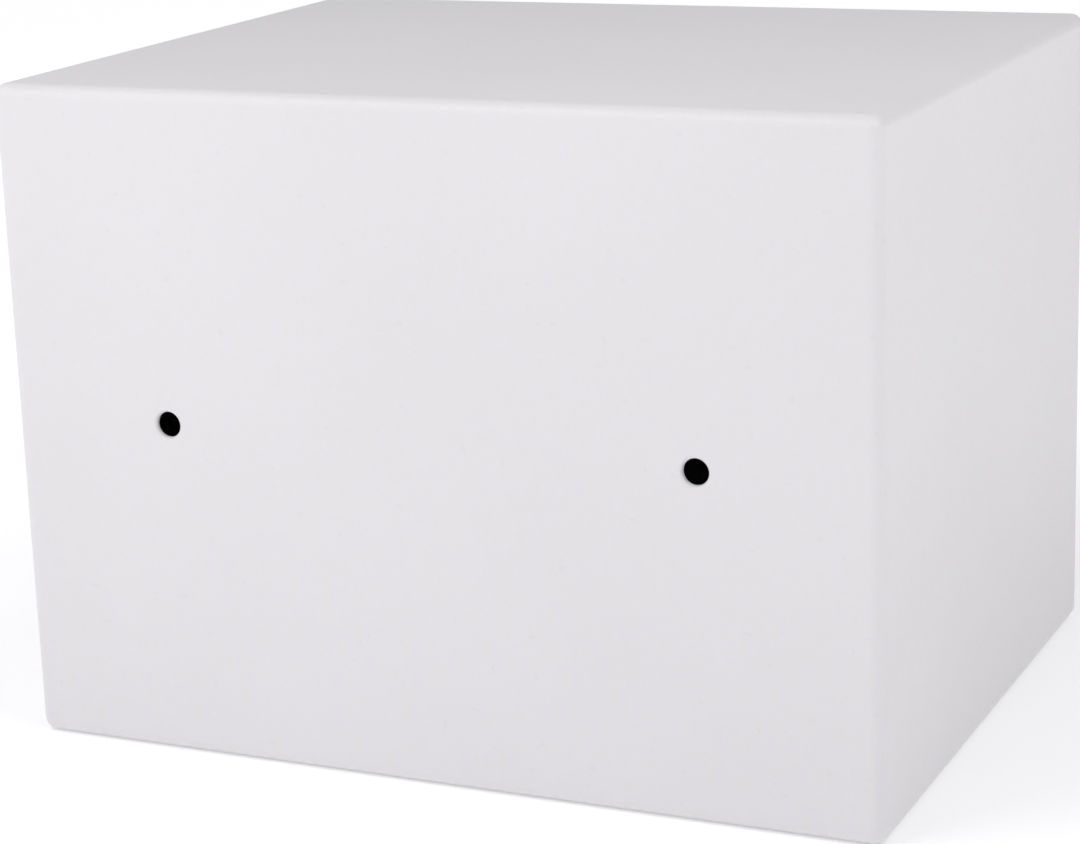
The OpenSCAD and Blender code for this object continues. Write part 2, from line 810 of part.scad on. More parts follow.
module hinge_pins() {
    z0 = lug_top - lug_h + 2;
    h = bracket_z + bracket_t - z0;
    color(steel)
        top_and_bottom()
            translate([hinge_x, hinge_y, z0]) {
                cylinder(d = hinge_pin_d, h = h);
                translate([0, 0, h]) cylinder(d1 = hinge_pin_d, d2 = hinge_pin_d - 2, h = 1);
            }
}

// Angle behind the door's edge, bored for the bolts
module bolt_guide() {
    z = [knob_z - bolt_plate_half, knob_z + bolt_plate_half];
    color(steel)
        difference() {
            union() {
                block([guide_x1 - guide_foot, guide_x1], [door_back, door_back + guide_t], z);
                block([guide_x0, guide_x1], [door_back, carrier_y0 + 6], z);
            }
            for (bz = bolt_zs)
                translate([guide_x0 - over, bolt_y, bz]) rotate([0, 90, 0])
                    cylinder(d = bolt_bore, h = guide_t + 2 * over);
        }
}

// Shouldered studs whose heads keep the carrier plate in its plane
module guide_studs() {
    head_y = carrier_y1 + face_gap;
    color(steel)
        for (z = stud_zs)
            union() {
                rod(stud_x, z, [door_back, head_y], stud_d);
                rod(stud_x, z, [door_back, carrier_y0 - face_gap], stud_head_d);
                rod(stud_x, z, [head_y, head_y + stud_head_t], stud_head_d);
            }
}

// Place of the sliding pieces while the bolts are drawn back
module drawn_back() {
    translate([-bolt_throw, 0, 0]) children();
}

module bolt_carrier() {
    half = bolt_spread / 2 + bolt_d / 2 + cross_margin;
    y = [carrier_y0, carrier_y1];
    cut = [carrier_y0 - over, carrier_y1 + over];
    slot = stud_d / 2 + slot_clear;
    pin_slot = crank_pin_d / 2 + crank_clear;
    color(steel)
        drawn_back() difference() {
            union() {
                block([carrier_l, carrier_r], y, [knob_z - carrier_half, carrier_top]);
                block([carrier_r - cross_w, carrier_r], y, [knob_z - half, knob_z + half]);
                block([carrier_r - carrier_t, carrier_r], [bolt_y - bolt_d / 2, carrier_y1],
                    [knob_z - half, knob_z + half]);
            }
            for (z = stud_zs)
                block([stud_x - slot, stud_x + bolt_throw + slot], cut, [z - slot, z + slot]);
            block([crank_slot_x - pin_slot, crank_slot_x + pin_slot], cut,
                [knob_z - crank_r - pin_slot - face_gap, crank_z + pin_slot + face_gap]);
            block([catch_x - plunger_d / 2 - face_gap, catch_x + plunger_d / 2 + catch_play], cut,
                [tip_z - face_gap, carrier_top + over]);
            for (z = bolt_zs)
                translate([carrier_r - carrier_t - over, bolt_y, z]) rotate([0, 90, 0])
                    cylinder(d = rivet_d + 2 * run_gap, h = carrier_t + 2 * over);
        }
}

// Round bolts riveted to the carrier's flange
module locking_bolts() {
    length = bolt_tip - carrier_r;
    chamfer = 1.5;
    color(steel)
        drawn_back() for (z = bolt_zs)
            translate([carrier_r, bolt_y, z]) rotate([0, 90, 0])
                union() {
                    cylinder(d = bolt_d, h = length - chamfer);
                    translate([0, 0, length - chamfer])
                        cylinder(d1 = bolt_d, d2 = bolt_d - 2 * chamfer, h = chamfer);
                    translate([0, 0, -carrier_t]) cylinder(d = rivet_d, h = carrier_t);
                    translate([0, 0, -carrier_t - 1.5]) cylinder(d = rivet_d + 3, h = 1.5);
                }
}

// The knob and what it turns

module spindle_bush() {
    color("darkgoldenrod")
        difference() {
            union() {
                rod(knob_x, knob_z, [front_y, door_back], spindle_bush_d);
                rod(knob_x, knob_z, [door_back, door_back + bush_flange_t], spindle_bush_d + 6);
            }
            rod(knob_x, knob_z, [front_y - over, door_back + bush_flange_t + over], spindle_d + 2 * run_gap);
        }
}

module knob_escutcheon() {
    r = escutcheon_d / 2;
    bore = spindle_d / 2 + 1;
    front = front_y - escutcheon_t;
    color(trim_black)
        turned(knob_x, knob_z, [
            [bore, front_y], [r, front_y], [r, front + 1.5], [r - 1.5, front], [bore, front]
        ]);
}

module knob() {
    r0 = knob_d / 2;
    r1 = grip_d / 2;
    color(trim_black)
        difference() {
            turned(knob_x, knob_z, [
                [0, knob_back], [r0, knob_back], [r0, skirt_front + 1.5], [r0 - 1.5, skirt_front],
                [r1, skirt_front], [r1, knob_front + 2], [r1 - 2, knob_front], [0, knob_front]
            ]);
            rod(knob_x, knob_z, [socket_floor, knob_back + over], spindle_d + 2 * run_gap);
            for (i = [0 : flutes - 1])
                let (a = (i + 0.5) * 360 / flutes, r = r1 + flute_d / 5)
                    rod(knob_x + r * sin(a), knob_z + r * cos(a), [knob_front - over, skirt_front], flute_d);
        }
}

module spindle() {
    color(steel) rod(knob_x, knob_z, [socket_floor, crank_y1], spindle_d);
}

module crank() {
    hub_d = spindle_d + 2 * crank_rim;
    hub_front = door_back + bush_flange_t + face_gap;
    color(steel)
        difference() {
            union() {
                rod(knob_x, knob_z, [hub_front, crank_y1], hub_d);
                hull() {
                    rod(knob_x, knob_z, [crank_y0, crank_y1], hub_d - 1, $fn = hull_fn);
                    rod(crank_x, crank_z, [crank_y0, crank_y1], crank_pin_d + 2 * crank_rim, $fn = hull_fn);
                }
                rod(crank_x, crank_z, [crank_y1, carrier_y1 + 1], crank_pin_d);
            }
            rod(knob_x, knob_z, [hub_front - over, crank_y1 + over], spindle_d + 2 * run_gap);
        }
}

// The key lock

module lock_body() {
    color(steel)
        difference() {
            union() {
                rod(knob_x, lock_z, [lock_front, front_y], lock_flange_d);
                rod(knob_x, lock_z, [front_y, lock_back - face_gap], lock_d);
            }
            rod(knob_x, lock_z, [lock_front - over, lock_back + over], plug_d + 2 * run_gap);
        }
}

module lock_nut() {
    y = [door_back, door_back + nut_t];
    color(steel)
        difference() {
            rod(knob_x, lock_z, y, (lock_d + 6) / cos(30), $fn = 6);
            rod(knob_x, lock_z, [y[0] - over, y[1] + over], lock_d + 2 * run_gap);
        }
}

module lock_plug() {
    front = lock_front - face_gap;
    color("goldenrod")
        difference() {
            union() {
                rod(knob_x, lock_z, [front, cam_y0], plug_d);
                rod(knob_x, lock_z, [cam_y0, cam_y1 + 0.8], plug_tail_d);
            }
            block([knob_x - keyway_w / 2, knob_x + keyway_w / 2], [front - over, front + 15],
                [lock_z - keyway_h / 2, lock_z + keyway_h / 2]);
        }
}

// The cam hangs below the catch and swings up under the plunger's collar
module lock_cam() {
    reach = cam_len - cam_w / 2;
    y = [cam_y0, cam_y1];
    color(steel)
        difference() {
            hull() {
                rod(knob_x, lock_z, y, plug_tail_d + 5, $fn = hull_fn);
                rod(knob_x - reach * cos(cam_turn), lock_z - reach * sin(cam_turn), y, cam_w,
                    $fn = hull_fn);
            }
            rod(knob_x, lock_z, [y[0] - over, y[1] + over], plug_tail_d + 2 * run_gap);
        }
}

module keyhole_cover() {
    y = [flap_front, flap_back];
    color(trim_black)
        difference() {
            hull() {
                rod(knob_x, lock_z, y, flap_d, $fn = hull_fn);
                rod(knob_x, flap_z, y, flap_rivet_d + 6, $fn = hull_fn);
            }
            rod(knob_x, flap_z, [y[0] - over, y[1] + over], flap_rivet_d + 2 * run_gap);
        }
}

module flap_rivet() {
    head = flap_front - face_gap;
    color(steel)
        union() {
            rod(knob_x, flap_z, [head, door_back], flap_rivet_d);
            rod(knob_x, flap_z, [head - 1.5, head], flap_rivet_d + 4);
            rod(knob_x, flap_z, [flap_back + face_gap, front_y], flap_rivet_d + 4);
            rod(knob_x, flap_z, [door_back, door_back + 1], flap_rivet_d + 2);
        }
}

// The solenoid catch

module plunger() {
    color(steel)
        translate([catch_x, catch_y, plunger_lift])
            union() {
                translate([0, 0, tip_z]) cylinder(d1 = plunger_d - 1, d2 = plunger_d, h = 0.5);
                translate([0, 0, tip_z + 0.5]) cylinder(d = plunger_d, h = plunger_top - tip_z - 0.5);
                translate([0, 0, collar_z0]) cylinder(d = plunger_collar_d, h = collar_z1 - collar_z0);
            }
}

module plunger_spring() {
    r = plunger_d / 2 + spring_wire / 2 + 0.6;
    z0 = collar_z1 + plunger_lift + spring_wire / 2 + 0.05;
    rise = spring_len - plunger_lift - spring_wire - 0.1;
    steps = 16 * spring_turns;
    color(steel)
        tube([for (i = [0 : steps]) [
            catch_x + r * cos(i * 360 / 16), catch_y + r * sin(i * 360 / 16), z0 + rise * i / steps
        ]], spring_wire, 6, [0, 0, 1]);
}

module solenoid_frame() {
    wide = coil_d / 2 + coil_rim;
    y = [coil_base_y, catch_y + coil_d / 2 - 1];
    z = [coil_frame_z, coil_z1 + coil_frame_t];
    color(steel)
        difference() {
            union() {
                block([catch_x - coil_foot_x, catch_x + coil_foot_x], [y[0], y[0] + coil_frame_t], z);
                block([catch_x - wide, catch_x + wide], y, [z[0], coil_z0]);
                block([catch_x - wide, catch_x + wide], y, [coil_z1, z[1]]);
            }
            translate([catch_x, catch_y, z[0] - over])
                cylinder(d = plunger_d + 3 * face_gap, h = z[1] - z[0] + 2 * over);
            for (side = [-1, 1])
                rod(catch_x + side * coil_post_x, coil_mid_z, [y[0] - over, y[0] + coil_frame_t + over],
                    screw_d + 2 * face_gap);
        }
}

module solenoid_coil() {
    color("sienna")
        difference() {
            union() {
                translate([catch_x, catch_y, coil_z0]) cylinder(d = coil_d, h = coil_h);
                block([terminal_x, catch_x - plunger_d / 2 - 2], [catch_y - 3.5, catch_y + 3.5],
                    [coil_mid_z - 5, coil_mid_z + 5]);
            }
            translate([catch_x, catch_y, coil_z0 - over])
                cylinder(d = plunger_d + 3 * face_gap, h = coil_h + 2 * over);
        }
}

// Post with a threaded hole in its rear end
module post(x, z, y, d, depth) {
    difference() {
        rod(x, z, y, d);
        rod(x, z, [y[1] - depth, y[1] + over], screw_d + 2 * run_gap);
    }
}

module solenoid_posts() {
    color(steel)
        for (side = [-1, 1])
            post(catch_x + side * coil_post_x, coil_mid_z, [door_back, coil_base_y], post_d, pilot);
}

// The inner cover

module inner_cover() {
    wall = [cover_in_y - over, cover_y + over];
    gap = 0.3;
    color(case_white)
        difference() {
            block([cover_l, cover_r], [door_back, cover_y], [cover_b, cover_top]);
            block([cover_l + cover_t, cover_r - cover_t], [door_back - over, cover_in_y],
                [cover_b + cover_t, cover_top - cover_t]);
            for (z = bolt_zs)
                translate([cover_r - cover_t - over, bolt_y, z]) rotate([0, 90, 0])
                    cylinder(d = bolt_d + 2 * cover_clear, h = cover_t + 2 * over);
            block([tray_x - tray_w / 2 - gap, tray_x + tray_w / 2 + gap], wall,
                [tray_z - tray_h / 2 - gap, tray_z + tray_h / 2 + gap]);
            rod(reset_x, reset_z, wall, reset_d + 2 * face_gap);
            for (x = post_xs, z = post_zs)
                rod(x, z, wall, screw_d + 2 * face_gap);
        }
}

module cover_posts() {
    color(steel)
        for (x = post_xs, z = post_zs)
            post(x, z, [door_back, cover_in_y], post_d, pilot);
}

module cover_screws() {
    color(steel)
        for (x = post_xs, z = post_zs)
            screw(x, z, cover_y, cover_t + screw_bite);
}

// The keypad

module keypad_housing() {
    half_x = pad_w / 2;
    half_z = pad_h / 2;
    w = pad_wall;
    color(trim_black)
        difference() {
            union() {
                difference() {
                    rounded_plate([pad_x - half_x, pad_x + half_x], [pad_front, front_y],
                        [knob_z - half_z, knob_z + half_z], pad_r);
                    rounded_plate([pad_x - half_x + w, pad_x + half_x - w], [pad_inner, front_y + over],
                        [knob_z - half_z + w, knob_z + half_z - w], pad_r - w);
                }
                for (side = [-1, 1], end = [-1, 1]) {
                    rod(pad_x + side * pad_post_x, knob_z + end * pad_post_z, [pad_inner, front_y],
                        pad_post_d);
                    rod(pad_x + side * board_post_x, knob_z + end * board_post_z,
                        [pad_inner, board_front], board_post_d);
                }
            }
            for (side = [-1, 1], end = [-1, 1]) {
                rod(pad_x + side * pad_post_x, knob_z + end * pad_post_z,
                    [pad_inner + 1.5, front_y + over], screw_d + 2 * run_gap);
                rod(pad_x + side * board_post_x, knob_z + end * board_post_z,
                    [pad_inner + 0.5, board_front + over], screw_d + 2 * run_gap);
            }
            for (i = [0 : 11])
                block([key_x(i) - key_w / 2 - key_clear, key_x(i) + key_w / 2 + key_clear],
                    [pad_front - over, pad_inner + over],
                    [key_z(i) - key_h / 2 - key_clear, key_z(i) + key_h / 2 + key_clear]);
            for (i = [0 : 2])
                rod(light_x(i), light_z, [pad_front - over, pad_inner + over], led_d + 2 * face_gap);
            for (i = [-2 : 2])
                rod(buzzer_x + 2.4 * i, light_z, [pad_front - over, pad_inner + over], 1.4);
        }
}

function key_x(i) = pad_x + (i % 3 - 1) * key_step_x;
function key_z(i) = knob_z - key_drop + (1.5 - floor(i / 3)) * key_step_z;
function light_x(i) = pad_x + (i - 2) * led_step;

module key(i) {
    x = [key_x(i) - key_w / 2, key_x(i) + key_w / 2];
    z = [key_z(i) - key_h / 2, key_z(i) + key_h / 2];
    edge = key_clear + key_flange;
    color("gainsboro")
        union() {
            rounded_plate(x, [key_front, key_foot - 0.5], z, 2);
            block([x[0] - edge, x[1] + edge], [pad_inner + face_gap, key_foot], [z[0] - edge, z[1] + edge]);
        }
}

module key_mat() {
    color("dimgray")
        block([key_x(0) - key_w / 2 - 3, key_x(2) + key_w / 2 + 3], [mat_front, board_front],
            [key_z(11) - key_h / 2 - 3, key_z(0) + key_h / 2 + 3]);
}

module circuit_board() {
    color("darkgreen")
        difference() {
            union() {
                block([pad_x - board_half_x, pad_x + board_half_x], [board_front, board_back],
                    [knob_z - board_half_z, knob_z + board_half_z]);
                block([pad_x - 5, pad_x + 5], [board_back, lead_start], [lead_z - 3, lead_z + 3]);
                block([pad_x - 7, pad_x + 7], [board_back, board_back + 1.2], [knob_z - 7, knob_z + 7]);
                block([pad_x + 12, pad_x + 20], [board_back, board_back + 2], [knob_z + 20, knob_z + 26]);
                block([pad_x - 22, pad_x - 14], [board_back, board_back + 1.5], [knob_z + 18, knob_z + 30]);
            }
            for (side = [-1, 1], end = [-1, 1])
                rod(pad_x + side * board_post_x, knob_z + end * board_post_z,
                    [board_front - over, board_back + over], screw_d + 2 * face_gap);
        }
}

module buzzer() {
    front = pad_inner + face_gap;
    color([0.1, 0.1, 0.1])
        difference() {
            rod(buzzer_x, light_z, [front, board_front], buzzer_d);
            rod(buzzer_x, light_z, [front - over, front + 1], 2);
        }
}

module indicator_lights() {
    r = led_d / 2;
    tip = pad_front - 1.2;
    color("orange")
        for (i = [0 : 2])
            turned(light_x(i), light_z, [
                [0, tip], [r - 1, tip], [r, tip + 1], [r, board_front - 1],
                [r + 0.5, board_front - 1], [r + 0.5, board_front], [0, board_front]
            ]);
}

// Screws that hold the keypad, the circuit board and the solenoid
module inner_screws() {
    color(steel) {
        for (side = [-1, 1], end = [-1, 1]) {
            screw(pad_x + side * pad_post_x, knob_z + end * pad_post_z, door_back,
                door_t + screw_bite);
            screw(pad_x + side * board_post_x, knob_z + end * board_post_z, board_back,
                board_t + board_bite);
        }
        for (side = [-1, 1])
            screw(catch_x + side * coil_post_x, coil_mid_z, coil_base_y + coil_frame_t,
                coil_frame_t + screw_bite);
    }
}

// The leads

module lead_grommet() {
    groove = grommet_bore + 2;
    y = [front_y - grommet_lip, door_back + grommet_lip];
    color([0.1, 0.1, 0.1])
        difference() {
            union() {
                rod(pad_x, lead_z, y, groove);
                rod(pad_x, lead_z, [y[0], front_y], grommet_d);
                rod(pad_x, lead_z, [door_back, y[1]], grommet_d);
            }
            rod(pad_x, lead_z, [y[0] - over, y[1] + over], grommet_bore);
        }
}

module inner_leads() {
    color("firebrick")
        for (route = leads)
            tube(smooth_path(route, 4), lead_d, 8, [0, 0, 1]);
}

// The battery tray

module battery_tray() {
    ear_x = lid_w / 2 + face_gap;
    half_x = tray_w / 2;
    half_z = tray_h / 2;
    color(trim_black)
        difference() {
            union() {
                block([tray_x - half_x, tray_x + half_x], [tray_back_y, tray_top_y],
                    [tray_z - half_z, tray_z + half_z]);
                block([tray_x - half_x - tray_flange, tray_x + half_x + tray_flange], [cover_y, tray_top_y],
                    [tray_z - half_z - tray_flange, tray_z + half_z + tray_flange]);
                for (x = [tray_x - ear_x - ear_w, tray_x + ear_x])
                    block([x, x + ear_w], [cover_y, lid_axis_y + lid_rod_d / 2 + 1],
                        [lid_axis_z - lid_rod_d, lid_axis_z + lid_rod_d]);
            }
            block([tray_x - tray_in_w / 2, tray_x + tray_in_w / 2], [tray_floor_y, tray_top_y + over],
                [tray_z - tray_in_h / 2, tray_z + tray_in_h / 2]);
            translate([tray_x - half_x - tray_flange, lid_axis_y, lid_axis_z]) rotate([0, 90, 0])
                cylinder(d = lid_rod_d + 2 * run_gap, h = tray_w + 2 * tray_flange);
        }
}

// Plates with a stud that presses on each end of each cell
module battery_contacts() {
    x0 = tray_in_w / 2;
    x1 = cell_len / 2;
    color(steel)
        for (z = cell_zs, side = [-1, 1])
            translate([tray_x, cell_y, z]) rotate([0, side * 90, 0])
                union() {
                    translate([-contact_w / 2, -contact_w / 2, x0 - contact_t])
                        cube([contact_w, contact_w, contact_t]);
                    translate([0, 0, x1]) cylinder(d = nub_d - 0.5, h = x0 - x1 - contact_t);
                }
}

// Each cell has a raised end, which points the other way on the next cell
module battery_cells() {
    nub = 1;
    color("steelblue")
        for (i = [0 : 3])
            translate([tray_x, cell_y, cell_zs[i]]) rotate([0, i % 2 == 0 ? 90 : -90, 0])
                translate([0, 0, -cell_len / 2])
                    union() {
                        cylinder(d = cell_d, h = cell_len - nub);
                        translate([0, 0, cell_len - nub]) cylinder(d = nub_d, h = nub);
                    }
}

module battery_lid() {
    half = tray_w / 2 + 1;
    z0 = tray_z - tray_h / 2 - 1;
    z1 = lid_axis_z - 4.5;
    y = [lid_y, lid_y + lid_t];
    rod_half = lid_w / 2 + face_gap + ear_w;
    color(trim_black)
        union() {
            block([tray_x - half, tray_x + half], y, [z0, z1]);
            block([tray_x - lid_w / 2, tray_x + lid_w / 2], y, [z1 - over, lid_axis_z]);
            block([tray_x - tab_w / 2, tray_x + tab_w / 2], [y[0], y[1] + 1.5], [z0, z0 + tab_h]);
            translate([tray_x - rod_half, lid_axis_y, lid_axis_z]) rotate([0, 90, 0])
                cylinder(d = lid_rod_d, h = 2 * rod_half);
        }
}

// The reset button

module reset_switch() {
    half = reset_switch_w / 2;
    color([0.15, 0.15, 0.16])
        difference() {
            block([reset_x - half, reset_x + half], [switch_back, cover_in_y],
                [reset_z - half, reset_z + half]);
            rod(reset_x, reset_z, [reset_foot - reset_travel - face_gap, cover_in_y + over],
                reset_d + 2 * run_gap);
        }
}

module reset_button() {
    color("crimson") rod(reset_x, reset_z, [reset_foot, cover_y + reset_proud], reset_d);
}

body_shell();
front_rim();
door_stop();
keeper_plate();
hinge_brackets();
hinge_bushes();
floor_mat();
door_plate();
hinge_lugs();
hinge_pins();
inner_cover();
cover_posts();
cover_screws();
bolt_guide();
guide_studs();
spindle_bush();
knob_escutcheon();
keypad_housing();
key_mat();
circuit_board();
buzzer();
indicator_lights();
inner_screws();
lock_body();
lock_nut();
flap_rivet();
lead_grommet();
battery_tray();
battery_contacts();
battery_cells();
solenoid_frame();
solenoid_coil();
solenoid_posts();
plunger_spring();
inner_leads();
reset_switch();
knob();
spindle();
crank();
bolt_carrier();
locking_bolts();
plunger();
lock_plug();
lock_cam();
keyhole_cover();
battery_lid();
reset_button();
for (i = [0 : 11])
    key(i);
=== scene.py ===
# A small electronic safe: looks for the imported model. Metres; the door faces -Y and +Z is up.
import math

import bpy
from mathutils import Matrix, Vector


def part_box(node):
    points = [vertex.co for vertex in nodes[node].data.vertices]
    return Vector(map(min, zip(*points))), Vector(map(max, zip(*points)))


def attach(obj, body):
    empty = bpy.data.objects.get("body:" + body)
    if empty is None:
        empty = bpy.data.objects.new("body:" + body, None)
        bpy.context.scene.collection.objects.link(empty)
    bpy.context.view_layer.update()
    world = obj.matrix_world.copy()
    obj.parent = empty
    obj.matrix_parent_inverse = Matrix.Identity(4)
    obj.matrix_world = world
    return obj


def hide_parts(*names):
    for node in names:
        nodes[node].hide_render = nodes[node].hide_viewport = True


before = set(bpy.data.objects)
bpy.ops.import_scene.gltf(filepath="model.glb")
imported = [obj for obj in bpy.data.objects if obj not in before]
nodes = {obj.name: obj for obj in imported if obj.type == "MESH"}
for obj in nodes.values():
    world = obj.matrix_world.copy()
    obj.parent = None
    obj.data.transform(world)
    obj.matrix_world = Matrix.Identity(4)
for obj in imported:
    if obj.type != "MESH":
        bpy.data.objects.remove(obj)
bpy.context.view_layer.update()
mm = 0.001
hair = 0.01 * mm  # how near a point lies to a plane that it counts as on it


# Camera
# It stands behind the safe, a little above it, as the photograph was taken: the rear wall,
# the top and one side are in view. A long lens; the picture is 1080 by 844 pixels.
azimuth, elevation, roll = (math.radians(angle) for angle in (204.744, 14.9985, -1.944))
backwards = Vector((
    math.sin(azimuth) * math.cos(elevation),
    -math.cos(azimuth) * math.cos(elevation),
    math.sin(elevation),
))
level = Vector((math.cos(azimuth), math.sin(azimuth), 0))
upright = backwards.cross(level)
rightwards = level * math.cos(roll) + upright * math.sin(roll)
upwards = upright * math.cos(roll) - level * math.sin(roll)
camera_data = bpy.data.cameras.new("camera")
camera_data.sensor_width = 36
camera_data.lens = 97.308
camera_data.clip_start = 0.02
camera_spot = (-0.45094, 1.00668, 0.39912)
camera = bpy.data.objects.new("camera", camera_data)
bpy.context.scene.collection.objects.link(camera)
turn = Matrix((rightwards, upwards, backwards)).transposed().to_4x4()
camera.matrix_world = Matrix.Translation(camera_spot) @ turn
bpy.context.scene.camera = camera


# Shader wiring, first used by the floor
# A Wire is one output of a shader node. Sums and products of wires add the Math nodes for
# them, and any other node is made by its own method, settings first.
class Wire:
    def __init__(self, tree, socket=None):
        self.tree = tree
        self.socket = socket

    def node(self, kind, inputs=None, output=0, **settings):
        made = self.tree.nodes.new("ShaderNode" + kind)
        for name, value in settings.items():
            setattr(made, name, value)
        for name, value in (inputs or {}).items():
            if isinstance(value, Wire):
                self.tree.links.new(value.socket, made.inputs[name])
            else:
                made.inputs[name].default_value = value
        return Wire(self.tree, made.outputs[output])

    def math(self, operation, a, b=0.0):
        return self.node("Math", {0: a, 1: b}, operation=operation)

    def __add__(self, other):
        return self.math("ADD", self, other)

    def __sub__(self, other):
        return self.math("SUBTRACT", self, other)

    def __rsub__(self, other):
        return self.math("SUBTRACT", other, self)

    def __mul__(self, other):
        return self.math("MULTIPLY", self, other)

    __radd__ = __add__
    __rmul__ = __mul__

    def noise(self, place, scale, detail=2.0, roughness=0.5):
        return self.node("TexNoise", {
            "Vector": place, "Scale": scale, "Detail": detail, "Roughness": roughness,
        })

    def between(self, value, low, high):
        # 0 up to the low value, 1 from the high one on
        return self.node("MapRange", {"Value": value, "From Min": low, "From Max": high})

    def blend(self, amount, first, second):
        return self.node("Mix", {"Factor": amount, 6: first, 7: second}, output=2, data_type="RGBA")


def new_material(name, **fixed):
    # The Principled shader with its steady values, a wire to start from, and object coordinates
    material = bpy.data.materials.new(name)
    material.use_nodes = True
    tree = material.node_tree
    shader = tree.nodes["Principled BSDF"]
    for socket, value in fixed.items():
        shader.inputs[socket.replace("_", " ")].default_value = value
    wire = Wire(tree)
    place = wire.node("TexCoord", output="Object")
    return material, shader, wire, place


def plug_in(shader, **wires):
    for socket, wire in wires.items():
        wire.tree.links.new(wire.socket, shader.inputs[socket.replace("_", " ")])


# Floor
# A wide sheet of matt white paper, a hair under the safe. It glows, a painted light, so that
# it stays as bright as a white ground while the safe keeps its own tone; the glow is weak
# within a quarter metre of the safe, a painted shade round it, and full from half a metre out.
floor_width = 16
floor_gap = 0.1 * mm
bpy.ops.object.select_all(action="DESELECT")
bpy.ops.mesh.primitive_grid_add(
    x_subdivisions=24, y_subdivisions=24, size=floor_width, location=(0, 0, -floor_gap))
bpy.ops.object.transform_apply()
floor = bpy.context.object
floor.name = "floor"
paper, shader, wire, place = new_material("floor_paper", Roughness=0.9, Emission_Strength=0.44)
fibre = wire.noise(place, 260, 3)
distance = wire.node("VectorMath", {0: place}, output=1, operation="LENGTH")
# Painted light and shade: the floor's glow grows from dim near the safe to full white farther out
painted_glow_dim_near_safe = wire.between(distance, 0.24, 0.54)
plug_in(
    shader,
    Base_Color=wire.blend(fibre, (0.90, 0.90, 0.905, 1), (0.92, 0.92, 0.92, 1)),
    Emission_Color=wire.blend(painted_glow_dim_near_safe, (0.49, 0.49, 0.49, 1), (1, 1, 1, 1)),
)
floor.data.materials.append(paper)


# Light
# A white sky all round, two soft lamps over and beside the rear wall, on its left as the
# camera sees it, a smaller one over the side that shows, and a low one for the door.
view = bpy.context.scene.view_settings
view.view_transform = "Standard"
view.look = "None"
world = bpy.data.worlds.new("white_sky")
bpy.context.scene.world = world
world.use_nodes = True
sky = world.node_tree.nodes["Background"].inputs
sky["Color"].default_value = (0.985, 0.98, 1.0, 1)
sky["Strength"].default_value = 0.61


def softbox(name, place, target, width, height, power):
    # A rectangular lamp, in metres and watts, that looks from its place at its target
    lamp = bpy.data.lights.new(name, "AREA")
    lamp.shape = "RECTANGLE"
    lamp.size = width
    lamp.size_y = height
    lamp.energy = power
    holder = bpy.data.objects.new(name, lamp)
    bpy.context.scene.collection.objects.link(holder)
    aim = (Vector(target) - Vector(place)).to_track_quat("-Z", "Y")
    holder.matrix_world = Matrix.Translation(place) @ aim.to_matrix().to_4x4()


softbox("key_lamp", (0.28, 0.50, 0.80), (0.05, 0.13, 0.15), 0.5, 0.4, 1.46)
softbox("left_lamp", (0.75, 0.85, 0.55), (0.10, 0.13, 0.15), 0.6, 0.5, 1.3)
softbox("side_lamp", (-0.55, 0.25, 0.75), (-0.17, 0.05, 0.20), 0.4, 0.3, 1.2)
softbox("door_lamp", (1.70, -0.95, 0.40), (0, -0.1, 0.12), 0.8, 0.6, 1.5)


# Case
# A box of folded 2 mm steel sheet with a closed rear wall, open at the front. The folds
# round the rear wall and along the depth are rounded, and it is powder-coated white. Two
# holes in the rear wall and two in the base take the anchor bolts.
def powder_coat(name, colour):
    # Satin powder coat: a very fine orange peel, broad faint unevenness and a few dull specks
    material, shader, wire, place = new_material(name, Specular_IOR_Level=0.45)
    broad = wire.noise(place, 9, 2)
    cells = wire.noise(place, 330, 1)
    grain = wire.noise(place, 1500, 1)
    specks = wire.between(wire.noise(place, 300, 0), 0.80, 0.84)
    dull = tuple(0.93 * c for c in colour)
    tone = wire.blend(
        wire.between(broad, 0.35, 0.65),
        (*colour, 1), (*(min(1, 1.02 * c) for c in colour), 1))
    plug_in(
        shader,
        Base_Color=wire.blend(0.35 * specks, tone, (*dull, 1)),
        Roughness=0.36 + 0.10 * cells + 0.05 * broad,
        Normal=wire.node("Bump", {
            "Strength": 0.5, "Distance": 0.0005, "Height": cells + 0.06 * grain,
        }),
    )
    return material


def add_block(name, low, high):
    # A cube at its size and place, selected alone, with its place in its mesh
    bpy.ops.object.select_all(action="DESELECT")
    low, high = Vector(low), Vector(high)
    bpy.ops.mesh.primitive_cube_add(size=1, location=(low + high) / 2, scale=high - low)
    piece = bpy.context.object
    piece.name = name
    bpy.ops.object.transform_apply()
    return piece


def add_round(name, centre, radius, depth, axis="Y", sides=64):
    # A cylinder along one axis, with its place in its mesh
    bpy.ops.object.select_all(action="DESELECT")
    turns = {"X": (0, math.pi / 2, 0), "Y": (math.pi / 2, 0, 0), "Z": (0, 0, 0)}
    bpy.ops.mesh.primitive_cylinder_add(
        vertices=sides, radius=radius, depth=depth, location=centre, rotation=turns[axis])
    piece = bpy.context.object
    piece.name = name
    bpy.ops.object.transform_apply()
    return piece


def pick(piece, kind, test):
    # Goes into edit mode with the faces or edges selected whose middle and normal,
    # or whose two ends, pass the test
    bpy.ops.object.mode_set(mode="EDIT")
    bpy.ops.mesh.select_mode(type=kind)
    bpy.ops.mesh.select_all(action="DESELECT")
    bpy.ops.object.mode_set(mode="OBJECT")
    points = piece.data.vertices
    if kind == "FACE":
        for face in piece.data.polygons:
            face.select = bool(test(face.center, face.normal))
    else:
        for edge in piece.data.edges:
            edge.select = bool(test(*(points[i].co for i in edge.vertices)))
    bpy.ops.object.mode_set(mode="EDIT")


def round_off(width, segments):
    # Rounds the picked edges, or the rim of a picked face, and leaves edit mode
    bpy.ops.mesh.bevel(offset=width, segments=segments, affect="EDGES")
    bpy.ops.object.mode_set(mode="OBJECT")


